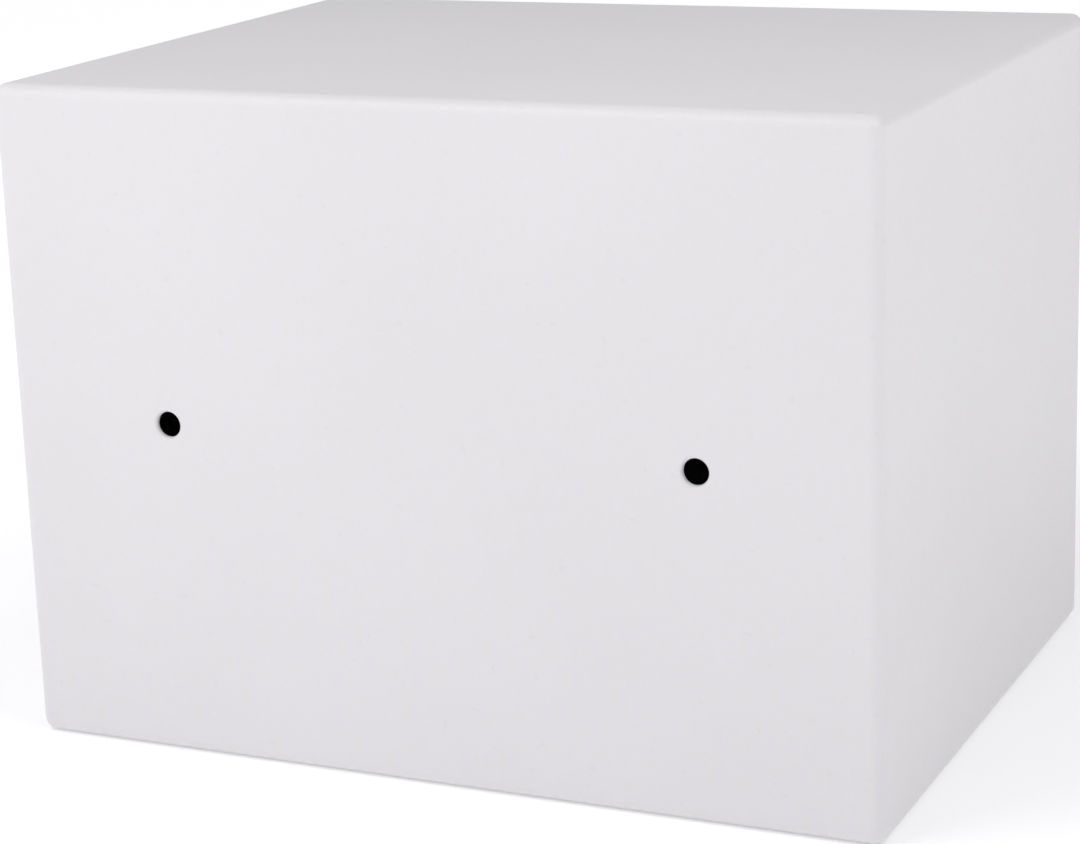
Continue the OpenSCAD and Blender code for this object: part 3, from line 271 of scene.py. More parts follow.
def modify(piece, kind, **settings):
    # Adds a modifier and applies it
    bpy.context.view_layer.objects.active = piece
    step = piece.modifiers.new(kind.lower(), kind)
    for name, value in settings.items():
        setattr(step, name, value)
    bpy.ops.object.modifier_apply(modifier=step.name)


def cut_out(piece, *cutters):
    # Takes the cutters' shapes out of a piece and deletes them
    for cutter in cutters:
        modify(piece, "BOOLEAN", operation="DIFFERENCE", solver="EXACT", object=cutter)
        bpy.data.objects.remove(cutter)


def smooth(piece, degrees=35):
    # Smooth over rounded edges, while flat faces stay flat to the eye
    bpy.ops.object.select_all(action="DESELECT")
    piece.select_set(True)
    bpy.context.view_layer.objects.active = piece
    bpy.ops.object.shade_smooth_by_angle(angle=math.radians(degrees))
    modify(piece, "WEIGHTED_NORMAL", keep_sharp=True, weight=60)


def wear(piece, material):
    # The piece's finish
    piece.data.materials.clear()
    piece.data.materials.append(material)


white_paint = (0.735, 0.722, 0.738)
case_coat = powder_coat("case_powder_coat", white_paint)
low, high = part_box("body_shell")
sheet, fold = 2 * mm, 5 * mm
hole_radius = 9.5 / 2 * mm
hole_side, rear_hole_z, base_hole_y = 103 * mm, 127 * mm, 20 * mm
case = add_block("case", low, high)
pick(case, "FACE", lambda middle, normal: normal.y < -0.5)
bpy.ops.mesh.delete(type="ONLY_FACE")
pick(case, "EDGE", lambda a, b: abs(a.y - b.y) > 0.1 or min(a.y, b.y) > high.y - mm)
round_off(fold, 10)
modify(case, "SOLIDIFY", thickness=sheet, offset=-1, use_even_offset=True)
rear_holes = [(side * hole_side, high.y, rear_hole_z) for side in (-1, 1)]
base_holes = [(side * hole_side, base_hole_y, 0) for side in (-1, 1)]
cut_out(
    case,
    *(add_round("cutter", spot, hole_radius, 10 * mm, "Y") for spot in rear_holes),
    *(add_round("cutter", spot, hole_radius, 10 * mm, "Z") for spot in base_holes),
)


def on_a_hole(point):
    # On the outer edge of one of the four anchor holes
    reach = hole_radius + 0.1 * mm
    return any(
        abs(point.y - y) < hair and math.hypot(point.x - x, point.z - z) < reach
        for x, y, z in rear_holes
    ) or any(
        abs(point.z - z) < hair and math.hypot(point.x - x, point.y - y) < reach
        for x, y, z in base_holes)


pick(case, "EDGE", lambda a, b: on_a_hole(a) and on_a_hole(b))
round_off(1.5 * mm, 8)
smooth(case)
wear(case, case_coat)
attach(case, "case")
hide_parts("body_shell")


# Front rim
# A plate of 3 mm steel welded round the front of the case, coated with it. Its corners
# follow the case's folds and its front edges are only broken, so they look sharper.
low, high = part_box("front_rim")
rim = add_block("rim_plate", low, high)
pick(rim, "EDGE", lambda a, b: abs(a.y - b.y) > mm)
round_off(fold, 10)
rim_width = 18 * mm
cut_out(rim, add_block(
    "cutter",
    (low.x + rim_width, low.y - 5 * mm, low.z + rim_width),
    (high.x - rim_width, high.y + 5 * mm, high.z - rim_width),
))


def inside_rim(point):
    # On the edge of the opening, not on the outer one
    return abs(point.x) < high.x - 10 * mm and low.z + 10 * mm < point.z < high.z - 10 * mm


pick(rim, "EDGE", lambda a, b: (
    max(a.y, b.y) < low.y + hair and inside_rim(a) == inside_rim(b)))
round_off(0.8 * mm, 4)
smooth(rim)
wear(rim, case_coat)
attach(rim, "case")
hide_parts("front_rim")


# Door stops and hinge brackets
# Angle strips and small brackets of folded steel, welded behind the rim before the case
# was coated, so they carry the same white coat.
def soften(node, width, degrees=30, segments=2):
    # A copy of a CAD node's mesh, merged to clean faces, with its edges rounded
    piece = bpy.data.objects.new(node + "_finished", nodes[node].data.copy())
    bpy.context.scene.collection.objects.link(piece)
    bpy.ops.object.select_all(action="DESELECT")
    piece.select_set(True)
    bpy.context.view_layer.objects.active = piece
    bpy.ops.object.mode_set(mode="EDIT")
    bpy.ops.mesh.select_all(action="SELECT")
    bpy.ops.mesh.remove_doubles(threshold=0.001 * mm)
    bpy.ops.mesh.dissolve_limited(angle_limit=math.radians(0.5))
    bpy.ops.object.mode_set(mode="OBJECT")
    modify(
        piece, "BEVEL", width=width, segments=segments, limit_method="ANGLE",
        angle_limit=math.radians(degrees))
    smooth(piece, degrees + 10)
    return piece


for node, edge in (("door_stop", 0.35 * mm), ("hinge_brackets", 0.5 * mm)):
    strip = soften(node, edge)
    wear(strip, case_coat)
    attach(strip, "case")
    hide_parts(node)


# Keeper plate
# An angle of zinc-plated steel beside the opening. The two bolts slide into its holes.
def zinc_plate(name, tint=(0.62, 0.63, 0.645)):
    # Bright zinc with a faint cloudy bloom, fine scratches and small dull spots
    material, shader, wire, place = new_material(name, Metallic=1.0)
    cloud = wire.noise(place, 46, 3, 0.6)
    scratch = wire.noise(
        wire.node("Mapping", {"Vector": place, "Scale": (120, 1600, 1600)}), 1.0, 2)
    spots = wire.between(wire.noise(place, 210, 1), 0.66, 0.74)
    light = wire.blend(
        wire.between(cloud, 0.35, 0.7), (*tint, 1), (*(0.86 * c for c in tint), 1))
    plug_in(
        shader,
        Base_Color=wire.blend(0.5 * spots, light, (0.42, 0.42, 0.43, 1)),
        Roughness=0.26 + 0.16 * cloud + 0.12 * spots,
        Normal=wire.node("Bump", {
            "Strength": 0.18, "Distance": 0.0001, "Height": scratch + 0.6 * cloud,
        }),
    )
    return material


zinc = zinc_plate("zinc_plate")
keeper = soften("keeper_plate", 0.3 * mm)
wear(keeper, zinc)
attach(keeper, "case")
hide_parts("keeper_plate")


# Hinge bushes
# Turned brass bushes in the brackets, with a collar that carries the door's weight.
def turned_metal(name, colour, axis, roughness=0.24, tarnish=0.0):
    # Metal off the lathe: fine rings along one axis, and a little tarnish
    material, shader, wire, place = new_material(name, Metallic=1.0)
    squeeze = {"X": (2600, 12, 12), "Y": (12, 2600, 12), "Z": (12, 12, 2600)}[axis]
    rings = wire.noise(wire.node("Mapping", {"Vector": place, "Scale": squeeze}), 1.0, 2, 0.6)
    patch = wire.noise(place, 160, 3)
    dull = tuple(c * (1 - 0.35 * tarnish) for c in colour)
    plug_in(
        shader,
        Base_Color=wire.blend(wire.between(patch, 0.4, 0.7), (*colour, 1), (*dull, 1)),
        Roughness=roughness + 0.10 * rings + 0.10 * patch,
        Normal=wire.node("Bump", {"Strength": 0.14, "Distance": 0.00006, "Height": rings}),
    )
    return material


brass = turned_metal("brass_turned", (0.72, 0.54, 0.25), "Z", 0.26, 0.6)
bushes = soften("hinge_bushes", 0.25 * mm)
wear(bushes, brass)
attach(bushes, "case")
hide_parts("hinge_bushes")


# Floor mat
# A sheet of dark grey needle felt, 2 mm thick, cut to the floor with two round openings
# over the base holes and glued down. Its surface is matted and its cut edge a bit uneven.
low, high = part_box("floor_mat")
bpy.ops.object.select_all(action="DESELECT")
bpy.ops.mesh.primitive_grid_add(
    x_subdivisions=82, y_subdivisions=57, size=1,
    location=((low.x + high.x) / 2, (low.y + high.y) / 2, high.z))
bpy.ops.transform.resize(value=(high.x - low.x, high.y - low.y, 1))
mat = bpy.context.object
mat.name = "felt_mat"
bpy.ops.object.transform_apply()
modify(mat, "SOLIDIFY", thickness=high.z - low.z, offset=-1)
cut_out(mat, *(
    add_round("cutter", (x, y, low.z), 10 * mm, 20 * mm, "Z") for x, y, z in base_holes))
modify(
    mat, "BEVEL", width=0.5 * mm, segments=2, limit_method="ANGLE", angle_limit=math.radians(60))
lumps = bpy.data.textures.new("felt_lumps", "CLOUDS")
lumps.noise_scale = 0.012
top = mat.vertex_groups.new(name="top")
top.add([point.index for point in mat.data.vertices if point.co.z > high.z - 0.1 * mm], 1, "ADD")
modify(
    mat, "DISPLACE", texture=lumps, strength=0.35 * mm, mid_level=1.0, direction="Z",
    vertex_group="top", texture_coords="LOCAL")
mat.vertex_groups.clear()
smooth(mat, 60)
felt, shader, wire, place = new_material("needle_felt", Roughness=0.95, Sheen_Weight=0.35)
tangle = wire.noise(place, 1500, 4, 0.7)
fleck = wire.between(wire.noise(place, 620, 1), 0.60, 0.72)
broad = wire.noise(place, 28, 2)
plug_in(
    shader,
    Base_Color=wire.blend(
        0.45 * fleck,
        wire.blend(
            wire.between(0.7 * tangle + 0.3 * broad, 0.35, 0.65),
            (0.040, 0.041, 0.046, 1), (0.095, 0.096, 0.105, 1)),
        (0.16, 0.16, 0.17, 1)),
    Normal=wire.node("Bump", {"Strength": 0.8, "Distance": 0.0006, "Height": tangle}),
)
wear(mat, felt)
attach(mat, "case")
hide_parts("floor_mat")


# Door plate
# A flat slab of 4 mm steel, coated like the case, with its edges broken by hand. The holes
# for the bush, the lock, the rivet, the grommet and the keypad's screws go right through.
low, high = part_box("door_plate")
door = add_block("door_slab", low, high)
middle = (low.y + high.y) / 2
knob_x, knob_z = 62 * mm, 125 * mm
lock_z, rivet_z = 164 * mm, 182 * mm
pad_x, grommet_z = -42 * mm, 78 * mm
door_holes = [(knob_x, knob_z, 6.05), (knob_x, lock_z, 9.05), (knob_x, rivet_z, 2.05),
              (pad_x, grommet_z, 5.55)]
door_holes += [(pad_x + side * 39 * mm, knob_z + end * 59 * mm, 1.7)
               for side in (-1, 1) for end in (-1, 1)]
cut_out(door, *(
    add_round("cutter", (x, middle, z), radius * mm, 20 * mm) for x, z, radius in door_holes))
pick(door, "EDGE", lambda a, b: all(
    min(abs(p.x - low.x), abs(p.x - high.x), abs(p.z - low.z), abs(p.z - high.z)) < hair
    for p in (a, b)))
round_off(0.7 * mm, 4)
smooth(door)
door_coat = powder_coat("door_powder_coat", white_paint)
wear(door, door_coat)
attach(door, "door")
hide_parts("door_plate")


# Hinge lugs
# Two blocks welded to the back of the door and coated with it. Each holds its pin upright.
lugs = soften("hinge_lugs", 0.5 * mm)
wear(lugs, door_coat)
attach(lugs, "door")
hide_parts("hinge_lugs")


# Hinge pins
# Turned and polished steel pins, pressed into the lugs, with a chamfer at their free end.
bright_pins = turned_metal("polished_pins", (0.74, 0.75, 0.76), "Z", 0.16)
pins = soften("hinge_pins", 0.15 * mm)
wear(pins, bright_pins)
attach(pins, "door")
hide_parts("hinge_pins")


# Keypad housing
# A hollow moulding of black plastic, screwed on from behind the door. Its front has soft
# edges, a shallow sunken field for the keys, openings for the lights and five sound holes.
def moulded(name, colour, roughness=0.42, grain=1.0):
    # Plastic from a spark-eroded mould: an even pebble grain, handled a little smooth
    material, shader, wire, place = new_material(name, Specular_IOR_Level=0.5)
    pebble = wire.node(
        "TexVoronoi", {"Vector": place, "Scale": 1900, "Smoothness": 0.6}, feature="SMOOTH_F1")
    touch = wire.noise(place, 34, 3, 0.6)
    lighter = tuple(min(1, 1.22 * c + 0.003) for c in colour)
    plug_in(
        shader,
        Base_Color=wire.blend(
            wire.between(touch, 0.35, 0.7), (*colour, 1), (*lighter, 1)),
        Roughness=roughness + 0.14 * (touch - 0.5) + 0.10 * (pebble - 0.4),
        Normal=wire.node("Bump", {
            "Strength": 0.22 * grain, "Distance": 0.00012, "Height": pebble,
        }),
    )
    return material


black_plastic = moulded("black_moulding", (0.022, 0.023, 0.026))
low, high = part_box("keypad_housing")
housing = add_block("keypad_shell", low, high)
pick(housing, "EDGE", lambda a, b: abs(a.y - b.y) > mm)
round_off(8 * mm, 12)
pick(housing, "FACE", lambda middle, normal: normal.y > 0.5)
bpy.ops.mesh.delete(type="ONLY_FACE")
pick(housing, "EDGE", lambda a, b: max(a.y, b.y) < low.y + hair)
round_off(1.8 * mm, 5)
modify(housing, "SOLIDIFY", thickness=2 * mm, offset=-1, use_even_offset=True)

field = add_block(
    "cutter", (pad_x - 33 * mm, low.y - mm, 80 * mm), (pad_x + 33 * mm, low.y + 0.7 * mm, 154 * mm))
pick(field, "EDGE", lambda a, b: abs(a.y - b.y) > mm)
round_off(4 * mm, 6)
cut_out(housing, field)
key_names = ["key_1", "key_2", "key_3", "key_4", "key_5", "key_6",
             "key_7", "key_8", "key_9", "key_star", "key_0", "key_hash"]
half_key_x, half_key_z = 7.5 * mm, 6 * mm
key_step_x, key_step_z = 20 * mm, 18 * mm
keys_z = knob_z - 8 * mm
key_places = {
    name: (pad_x + (i % 3 - 1) * key_step_x, keys_z + (1.5 - i // 3) * key_step_z)
    for i, name in enumerate(key_names)}
clear = 0.3 * mm
for x, z in key_places.values():
    slot_cutter = add_block(
        "cutter",
        (x - half_key_x - clear, low.y - mm, z - half_key_z - clear),
        (x + half_key_x + clear, low.y + 3 * mm, z + half_key_z + clear))
    pick(slot_cutter, "EDGE", lambda a, b: abs(a.y - b.y) > mm)
    round_off(2 * mm, 5)
    cut_out(housing, slot_cutter)
light_z = 172 * mm
light_places = [pad_x - 24 * mm, pad_x - 12 * mm, pad_x]
sound_holes = [pad_x + (20 + 2.4 * i) * mm for i in range(-2, 3)]
cut_out(
    housing,
    *(add_round("cutter", (x, low.y, light_z), 2.7 * mm, 8 * mm, sides=40) for x in light_places),
    *(add_round("cutter", (x, low.y, light_z), 0.7 * mm, 8 * mm, sides=16) for x in sound_holes),
)
modify(
    housing, "BEVEL", width=0.18 * mm, segments=2, limit_method="ANGLE",
    angle_limit=math.radians(50))
smooth(housing)
wear(housing, black_plastic)
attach(housing, "door")
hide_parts("keypad_housing")


# Keys
# Twelve caps of satin grey plastic on one rubber mat. Each has rounded sides, a shallow
# dish in its face for the finger, and its number moulded in black, a little raised.
key_plastic = moulded("key_moulding", (0.50, 0.505, 0.515), 0.36, 0.5)
print_black = moulded("key_print", (0.012, 0.012, 0.014), 0.5, 0.3)
first = key_names[0]
low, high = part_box(first)
x, z = key_places[first]
front, foot = low.y, high.y
cap = add_block(
    "key_cap", (x - half_key_x, front, z - half_key_z),
    (x + half_key_x, foot - 0.5 * mm, z + half_key_z))
pick(cap, "EDGE", lambda a, b: abs(a.y - b.y) > mm)
round_off(2 * mm, 6)
pick(cap, "FACE", lambda middle, normal: normal.y < -0.5)
for shrink, sink in (((0.84, 1, 0.80), 0), ((0.86, 1, 0.82), 0.12), ((0.76, 1, 0.68), 0.10),
                     ((0.5, 1, 0.45), 0.04)):
    bpy.ops.mesh.extrude_region_move(TRANSFORM_OT_translate={"value": (0, sink * mm, 0)})
    bpy.ops.transform.resize(value=shrink)
bpy.ops.object.mode_set(mode="OBJECT")
modify(
    cap, "BEVEL", width=0.45 * mm, segments=3, limit_method="ANGLE",
    angle_limit=math.radians(50))
add_block("key_foot", (low.x, foot - 1.4 * mm, low.z), high)
cap.select_set(True)
bpy.context.view_layer.objects.active = cap
bpy.ops.object.join()
smooth(cap)
wear(cap, key_plastic)
for name in key_names:
    dx, dz = key_places[name][0] - x, key_places[name][1] - z
    if name == first:
        key = cap
    else:
        key = bpy.data.objects.new(name + "_cap", cap.data.copy())
        bpy.context.scene.collection.objects.link(key)
        key.data.transform(Matrix.Translation((dx, 0, dz)))
    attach(key, name)
    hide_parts(name)
    figure = name.split("_")[1]
    figure = {"star": "*", "hash": "#"}.get(figure, figure)
    bpy.ops.object.select_all(action="DESELECT")
    bpy.ops.object.text_add(rotation=(math.pi / 2, 0, 0))
    mark = bpy.context.object
    mark.name = name + "_mark"
    mark.data.body = figure
    mark.data.size = {"*": 11, "#": 6.4}.get(figure, 7) * mm
    mark.data.extrude = 0.16 * mm
    mark.data.resolution_u = 6
    bpy.ops.object.convert(target="MESH")
    bpy.ops.object.transform_apply()
    corners = [Vector(corner) for corner in mark.bound_box]
    middle = (corners[0] + corners[6]) / 2
    mark.data.transform(Matrix.Translation(
        Vector((x + dx, front + 0.25 * mm, z + dz)) - middle))
    wear(mark, print_black)
    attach(mark, name)


# Indicator lights
# Three small lamps of clear coloured plastic, red, yellow and green, that stand a little
# proud of the housing with a round nose and a collar at the board.
low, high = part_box("indicator_lights")
lens_colours = {"red": (0.50, 0.015, 0.012), "yellow": (0.70, 0.36, 0.02),
                "green": (0.02, 0.33, 0.06)}
for (name, colour), x in zip(lens_colours.items(), light_places):
    lamp = add_round(name + "_light", (x, (low.y + high.y) / 2, light_z), 2.5 * mm,
                     high.y - low.y, sides=40)
    pick(lamp, "FACE", lambda middle, normal: normal.y < -0.9)
    round_off(2.2 * mm, 8)
    pick(lamp, "FACE", lambda middle, normal: normal.y > 0.9)
    bpy.ops.mesh.extrude_region_move(TRANSFORM_OT_translate={"value": (0, 0, 0)})
    bpy.ops.transform.resize(value=(1.2, 1, 1.2))
    bpy.ops.object.mode_set(mode="OBJECT")
    smooth(lamp, 40)
    lens, shader, wire, place = new_material(
        name + "_lens", Coat_Weight=0.6, Coat_Roughness=0.06, Transmission_Weight=0.25, IOR=1.49)
    depth = wire.noise(place, 420, 2)
    plug_in(
        shader,
        Base_Color=wire.blend(depth, (*colour, 1), (*(min(1, 1.5 * c) for c in colour), 1)),
        Roughness=0.12 + 0.10 * depth,
    )
    wear(lamp, lens)
    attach(lamp, "door")
    if name == "red":
        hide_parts("indicator_lights")


# Buzzer, key mat and circuit board
# They lie inside the housing: a round black buzzer behind the sound holes, a mat of grey
# silicone rubber under the keys, and a green board with its parts on the back.
black_resin = moulded("buzzer_resin", (0.02, 0.02, 0.021), 0.5)
silicone = moulded("grey_silicone", (0.16, 0.16, 0.17), 0.7, 0.6)
solder_mask, shader, wire, place = new_material("green_solder_mask", Coat_Weight=0.3)
tracks = wire.between(
    wire.node("TexWave", {"Vector": place, "Scale": 260, "Distortion": 7, "Detail": 1}, output=1),
    0.62, 0.70)
plug_in(
    shader,
    Base_Color=wire.blend(tracks, (0.012, 0.105, 0.035, 1), (0.03, 0.19, 0.07, 1)),
    Roughness=0.32 + 0.1 * wire.noise(place, 90),
    Normal=wire.node("Bump", {"Strength": 0.3, "Distance": 0.00005, "Height": tracks}),
)
for node, material, slot, edge in (
        ("buzzer", black_resin, "black_plastic", 0.3),
        ("key_mat", silicone, "grey_rubber", 0.4),
        ("circuit_board", solder_mask, "board", 0.12)):
    piece = soften(node, edge * mm)
    wear(piece, material)
    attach(piece, "door")
    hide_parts(node)


# Escutcheon
# A turned ring of black plastic under the knob, with a rounded rim. It covers the edge of
# the spindle's bush and is pressed against the door plate.
low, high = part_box("knob_escutcheon")
ring = add_round("escutcheon", (knob_x, (low.y + high.y) / 2, knob_z), 24 * mm, high.y - low.y,
                 sides=96)
pick(ring, "FACE", lambda middle, normal: normal.y < -0.9)
round_off(1.5 * mm, 4)
cut_out(ring, add_round("cutter", (knob_x, low.y, knob_z), 6.3 * mm, 30 * mm, sides=64))
smooth(ring)
wear(ring, black_plastic)
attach(ring, "door")
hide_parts("knob_escutcheon")


# Knob
# A moulded black plastic knob pressed on the spindle: a low skirt, a grip with twelve
# flutes, a shallow dish in its face and a white pointer line let into its edge.
low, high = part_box("knob")
front, back = low.y, high.y
skirt_front = -139.2 * mm
grip_radius, skirt_radius, dish_radius = 17 * mm, 21 * mm, 11.5 * mm
flutes, flute_depth = 12, 1.5 * mm


def from_axis(point):
    # How far a point lies from the knob's axis
    return math.hypot(point.x - knob_x, point.z - knob_z)


knob = add_round("knob_grip", (knob_x, (front + skirt_front) / 2, knob_z), grip_radius,
                 skirt_front - front, sides=24 * flutes)
for vertex in knob.data.vertices:
    across, up = vertex.co.x - knob_x, vertex.co.z - knob_z
    sunk = (0.5 - 0.5 * math.cos(flutes * math.atan2(up, across))) ** 2
    share = 1 - flute_depth / grip_radius * sunk
    vertex.co.x = knob_x + across * share
    vertex.co.z = knob_z + up * share
pick(knob, "FACE", lambda middle, normal: normal.y > 0.9)
bpy.ops.mesh.extrude_region_move(TRANSFORM_OT_translate={"value": (0, 0, 0)})
bpy.ops.object.mode_set(mode="OBJECT")
for vertex in knob.data.vertices:
    if vertex.select:
        angle = math.atan2(vertex.co.z - knob_z, vertex.co.x - knob_x)
        vertex.co.x = knob_x + skirt_radius * math.cos(angle)
        vertex.co.z = knob_z + skirt_radius * math.sin(angle)
pick(knob, "FACE", lambda middle, normal: normal.y > 0.9)
bpy.ops.mesh.extrude_region_move(
    TRANSFORM_OT_translate={"value": (0, back - skirt_front, 0)})
bpy.ops.object.mode_set(mode="OBJECT")
pick(knob, "EDGE", lambda a, b: max(a.y, b.y) < front + hair or (
    max(a.y, b.y) < skirt_front + hair
    and min(from_axis(a), from_axis(b)) > skirt_radius - 0.1 * mm))
round_off(0.9 * mm, 4)
cut_out(knob, add_round("cutter", (knob_x, front, knob_z), dish_radius, 1.2 * mm, sides=96))
pick(knob, "EDGE", lambda a, b: (
    max(a.y, b.y) < front + hair and max(from_axis(a), from_axis(b)) < dish_radius + 0.1 * mm))
round_off(0.35 * mm, 3)
pointer = add_block(
    "cutter", (knob_x - 0.8 * mm, front - mm, knob_z + 12.6 * mm),
    (knob_x + 0.8 * mm, front + 0.4 * mm, knob_z + 16.0 * mm))
cut_out(knob, pointer)
smooth(knob)
knob_black = moulded("knob_moulding", (0.024, 0.025, 0.028), 0.36, 0.7)
wear(knob, knob_black)
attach(knob, "knob")
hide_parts("knob")

line = add_block(
    "knob_pointer", (knob_x - 0.75 * mm, front + 0.12 * mm, knob_z + 12.65 * mm),
    (knob_x + 0.75 * mm, front + 0.5 * mm, knob_z + 15.95 * mm))
pick(line, "EDGE", lambda a, b: max(a.y, b.y) < front + 0.2 * mm)
round_off(0.12 * mm, 2)
smooth(line)
pointer_paint = moulded("pointer_paint", (0.80, 0.80, 0.79), 0.4, 0.3)
wear(line, pointer_paint)
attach(line, "knob")


# Spindle, its bush and the crank
# The turned steel spindle runs in a brass bush through the door and carries the plated
# crank, whose pin drives the bolt carrier.
bright_steel = turned_metal("turned_steel_y", (0.74, 0.75, 0.76), "Y", 0.18)
brass_y = turned_metal("brass_turned_y", (0.72, 0.54, 0.25), "Y", 0.26, 0.5)
for node, material, body, slot, edge in (
        ("spindle", bright_steel, "knob", "polished_steel", 0.2),
        ("crank", zinc, "knob", "zinc_steel", 0.25),
        ("spindle_bush", brass_y, "door", "brass", 0.2)):
    piece = soften(node, edge * mm)
    wear(piece, material)
    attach(piece, body)
    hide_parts(node)


# Key lock
# A turned cylinder lock in nickel-plated steel, for the emergency key. Its flange has a
# rounded edge and a fine groove; the brass plug shows its keyway in the middle.
lock_nickel = turned_metal("lock_nickel", (0.47, 0.47, 0.46), "Y", 0.27, 0.4)
lock = soften("lock_body", 0.3 * mm)
low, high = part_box("lock_body")
middle = ((low.x + high.x) / 2, low.y, (low.z + high.z) / 2)
groove = add_round("cutter", middle, 7.4 * mm, 0.5 * mm)
cut_out(groove, add_round("cutter", middle, 7.0 * mm, 2 * mm))
cut_out(lock, groove)
smooth(lock)
wear(lock, lock_nickel)
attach(lock, "door")
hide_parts("lock_body")
plug = soften("lock_plug", 0.2 * mm)
wear(plug, brass_y)
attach(plug, "lock_plug")
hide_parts("lock_plug")
for node, body in (("lock_nut", "door"), ("lock_cam", "lock_plug")):
    piece = soften(node, 0.3 * mm)
    wear(piece, zinc)
    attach(piece, body)
    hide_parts(node)


# Keyhole cover
# A tear-shaped flap of black plastic that hangs from a steel rivet over the key lock. It
# has a rounded edge and two grooves for the thumb near its foot.
cover = soften("keyhole_cover", 0.55 * mm, degrees=50, segments=4)
low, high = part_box("keyhole_cover")
cut_out(cover, *(
    add_block(
        "cutter", (knob_x - half * mm, low.y - mm, low.z + height * mm),
        (knob_x + half * mm, low.y + 0.35 * mm, low.z + (height + 0.9) * mm))
    for half, height in ((5.5, 3.4), (7, 5.6))))
smooth(cover)
wear(cover, black_plastic)
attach(cover, "keyhole_cover")
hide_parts("keyhole_cover")
rivet = soften("flap_rivet", 0.45 * mm, degrees=50, segments=4)
wear(rivet, lock_nickel)
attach(rivet, "door")
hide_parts("flap_rivet")


# Inner cover
# A pan of folded 1 mm sheet over the works behind the door, coated like it. It is cut out
# for the bolts, the battery tray and the reset button, and held by four screws.
low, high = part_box("inner_cover")
pan = add_block("inner_cover_pan", low, high)
pick(pan, "FACE", lambda middle, normal: normal.y < -0.5)
bpy.ops.mesh.delete(type="ONLY_FACE")
pick(pan, "EDGE", lambda a, b: abs(a.y - b.y) > mm or min(a.y, b.y) > high.y - hair)
round_off(2.5 * mm, 6)
modify(pan, "SOLIDIFY", thickness=1 * mm, offset=-1, use_even_offset=True)
bolt_y, bolt_heights = -111 * mm, (85 * mm, 165 * mm)
tray_x, tray_z = -62 * mm, 121 * mm
tray_half_x, tray_half_z = 32.05 * mm, 31.3 * mm
reset_x, reset_z = -103.8 * mm, 180 * mm
screw_places = [(x * mm, z * mm) for x in (-108.8, 126) for z in (38, 212)]
cut_out(
    pan,
    *(add_round("cutter", (high.x, bolt_y, z), 9 * mm, 12 * mm, "X") for z in bolt_heights),
    add_block("cutter", (tray_x - tray_half_x, high.y - 5 * mm, tray_z - tray_half_z),
              (tray_x + tray_half_x, high.y + 5 * mm, tray_z + tray_half_z)),
    add_round("cutter", (reset_x, high.y, reset_z), 2.7 * mm, 9 * mm, sides=40),
    *(add_round("cutter", (x, high.y, z), 1.7 * mm, 9 * mm, sides=24) for x, z in screw_places))
modify(
    pan, "BEVEL", width=0.2 * mm, segments=2, limit_method="ANGLE",
    angle_limit=math.radians(55))
smooth(pan)
wear(pan, door_coat)
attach(pan, "door")
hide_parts("inner_cover")


# Cover posts and screws
# Plated steel posts carry the cover, and a domed cross-head screw holds it to each.
posts = soften("cover_posts", 0.3 * mm)
wear(posts, zinc)
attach(posts, "door")
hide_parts("cover_posts")


def cross_recess(piece, places, head_y):
    # A cross recess in the face of each screw head
    for x, z in places:
        cut_out(piece, *(
            add_block(
                "cutter", (x - across * mm, head_y - 1.0 * mm, z - up * mm),
                (x + across * mm, head_y + mm, z + up * mm))
            for across, up in ((1.6, 0.35), (0.35, 1.6))))


screws = soften("cover_screws", 0.6 * mm, degrees=60, segments=4)
cross_recess(screws, screw_places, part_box("cover_screws")[1].y)
smooth(screws)
wear(screws, zinc)
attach(screws, "door")
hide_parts("cover_screws")


# Battery tray and its contacts
# A black moulded tray dropped into the inner cover, with two ears for the lid and sprung
# contacts of nickelled steel at both ends of each cell.
tray = soften("battery_tray", 0.4 * mm)
wear(tray, black_plastic)
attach(tray, "door")
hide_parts("battery_tray")
nickel = zinc_plate("nickel_plate", (0.70, 0.69, 0.66))
contacts = soften("battery_contacts", 0.12 * mm)
wear(contacts, nickel)
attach(contacts, "door")
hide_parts("battery_contacts")


# Battery cells
# Four plain round cells, turned end for end in the tray: a bare steel can, seen at its two
# crimped ends, in a shrunk sleeve of blue plastic.
cell_y, cell_step = -97.75 * mm, 14.7 * mm
can_radius, sleeve_radius, sleeve_bore = 6.9 * mm, 7.25 * mm, 6.7 * mm
can_length, sleeve_length = 49.5 * mm, 48.9 * mm
cans, sleeves = [], []
for i in range(4):
    way = 1 if i % 2 == 0 else -1
    centre = Vector((tray_x - way * 0.5 * mm, cell_y, tray_z + (i - 1.5) * cell_step))
    can = add_round("cell_can", centre, can_radius, can_length, "X", 48)
    pick(can, "FACE", lambda middle, normal: way * normal.x > 0.9)
    bpy.ops.mesh.inset(thickness=1.3 * mm)
    bpy.ops.mesh.inset(thickness=0.7 * mm)
    bpy.ops.transform.translate(value=(-0.4 * way * mm, 0, 0))
    bpy.ops.mesh.inset(thickness=2.15 * mm)
    bpy.ops.mesh.extrude_region_move(
        TRANSFORM_OT_translate={"value": (1.4 * way * mm, 0, 0)})
    bpy.ops.object.mode_set(mode="OBJECT")
    pick(can, "FACE", lambda middle, normal: way * normal.x < -0.9)
    bpy.ops.mesh.inset(thickness=1.3 * mm)
    bpy.ops.mesh.inset(thickness=0.5 * mm)
    bpy.ops.transform.translate(value=(0.3 * way * mm, 0, 0))
    bpy.ops.object.mode_set(mode="OBJECT")
    cans.append(can)
    sleeve = add_round("cell_sleeve", centre, sleeve_radius, sleeve_length, "X", 48)
    cut_out(sleeve, add_round("cutter", centre, sleeve_bore, 60 * mm, "X", 48))
    sleeves.append(sleeve)
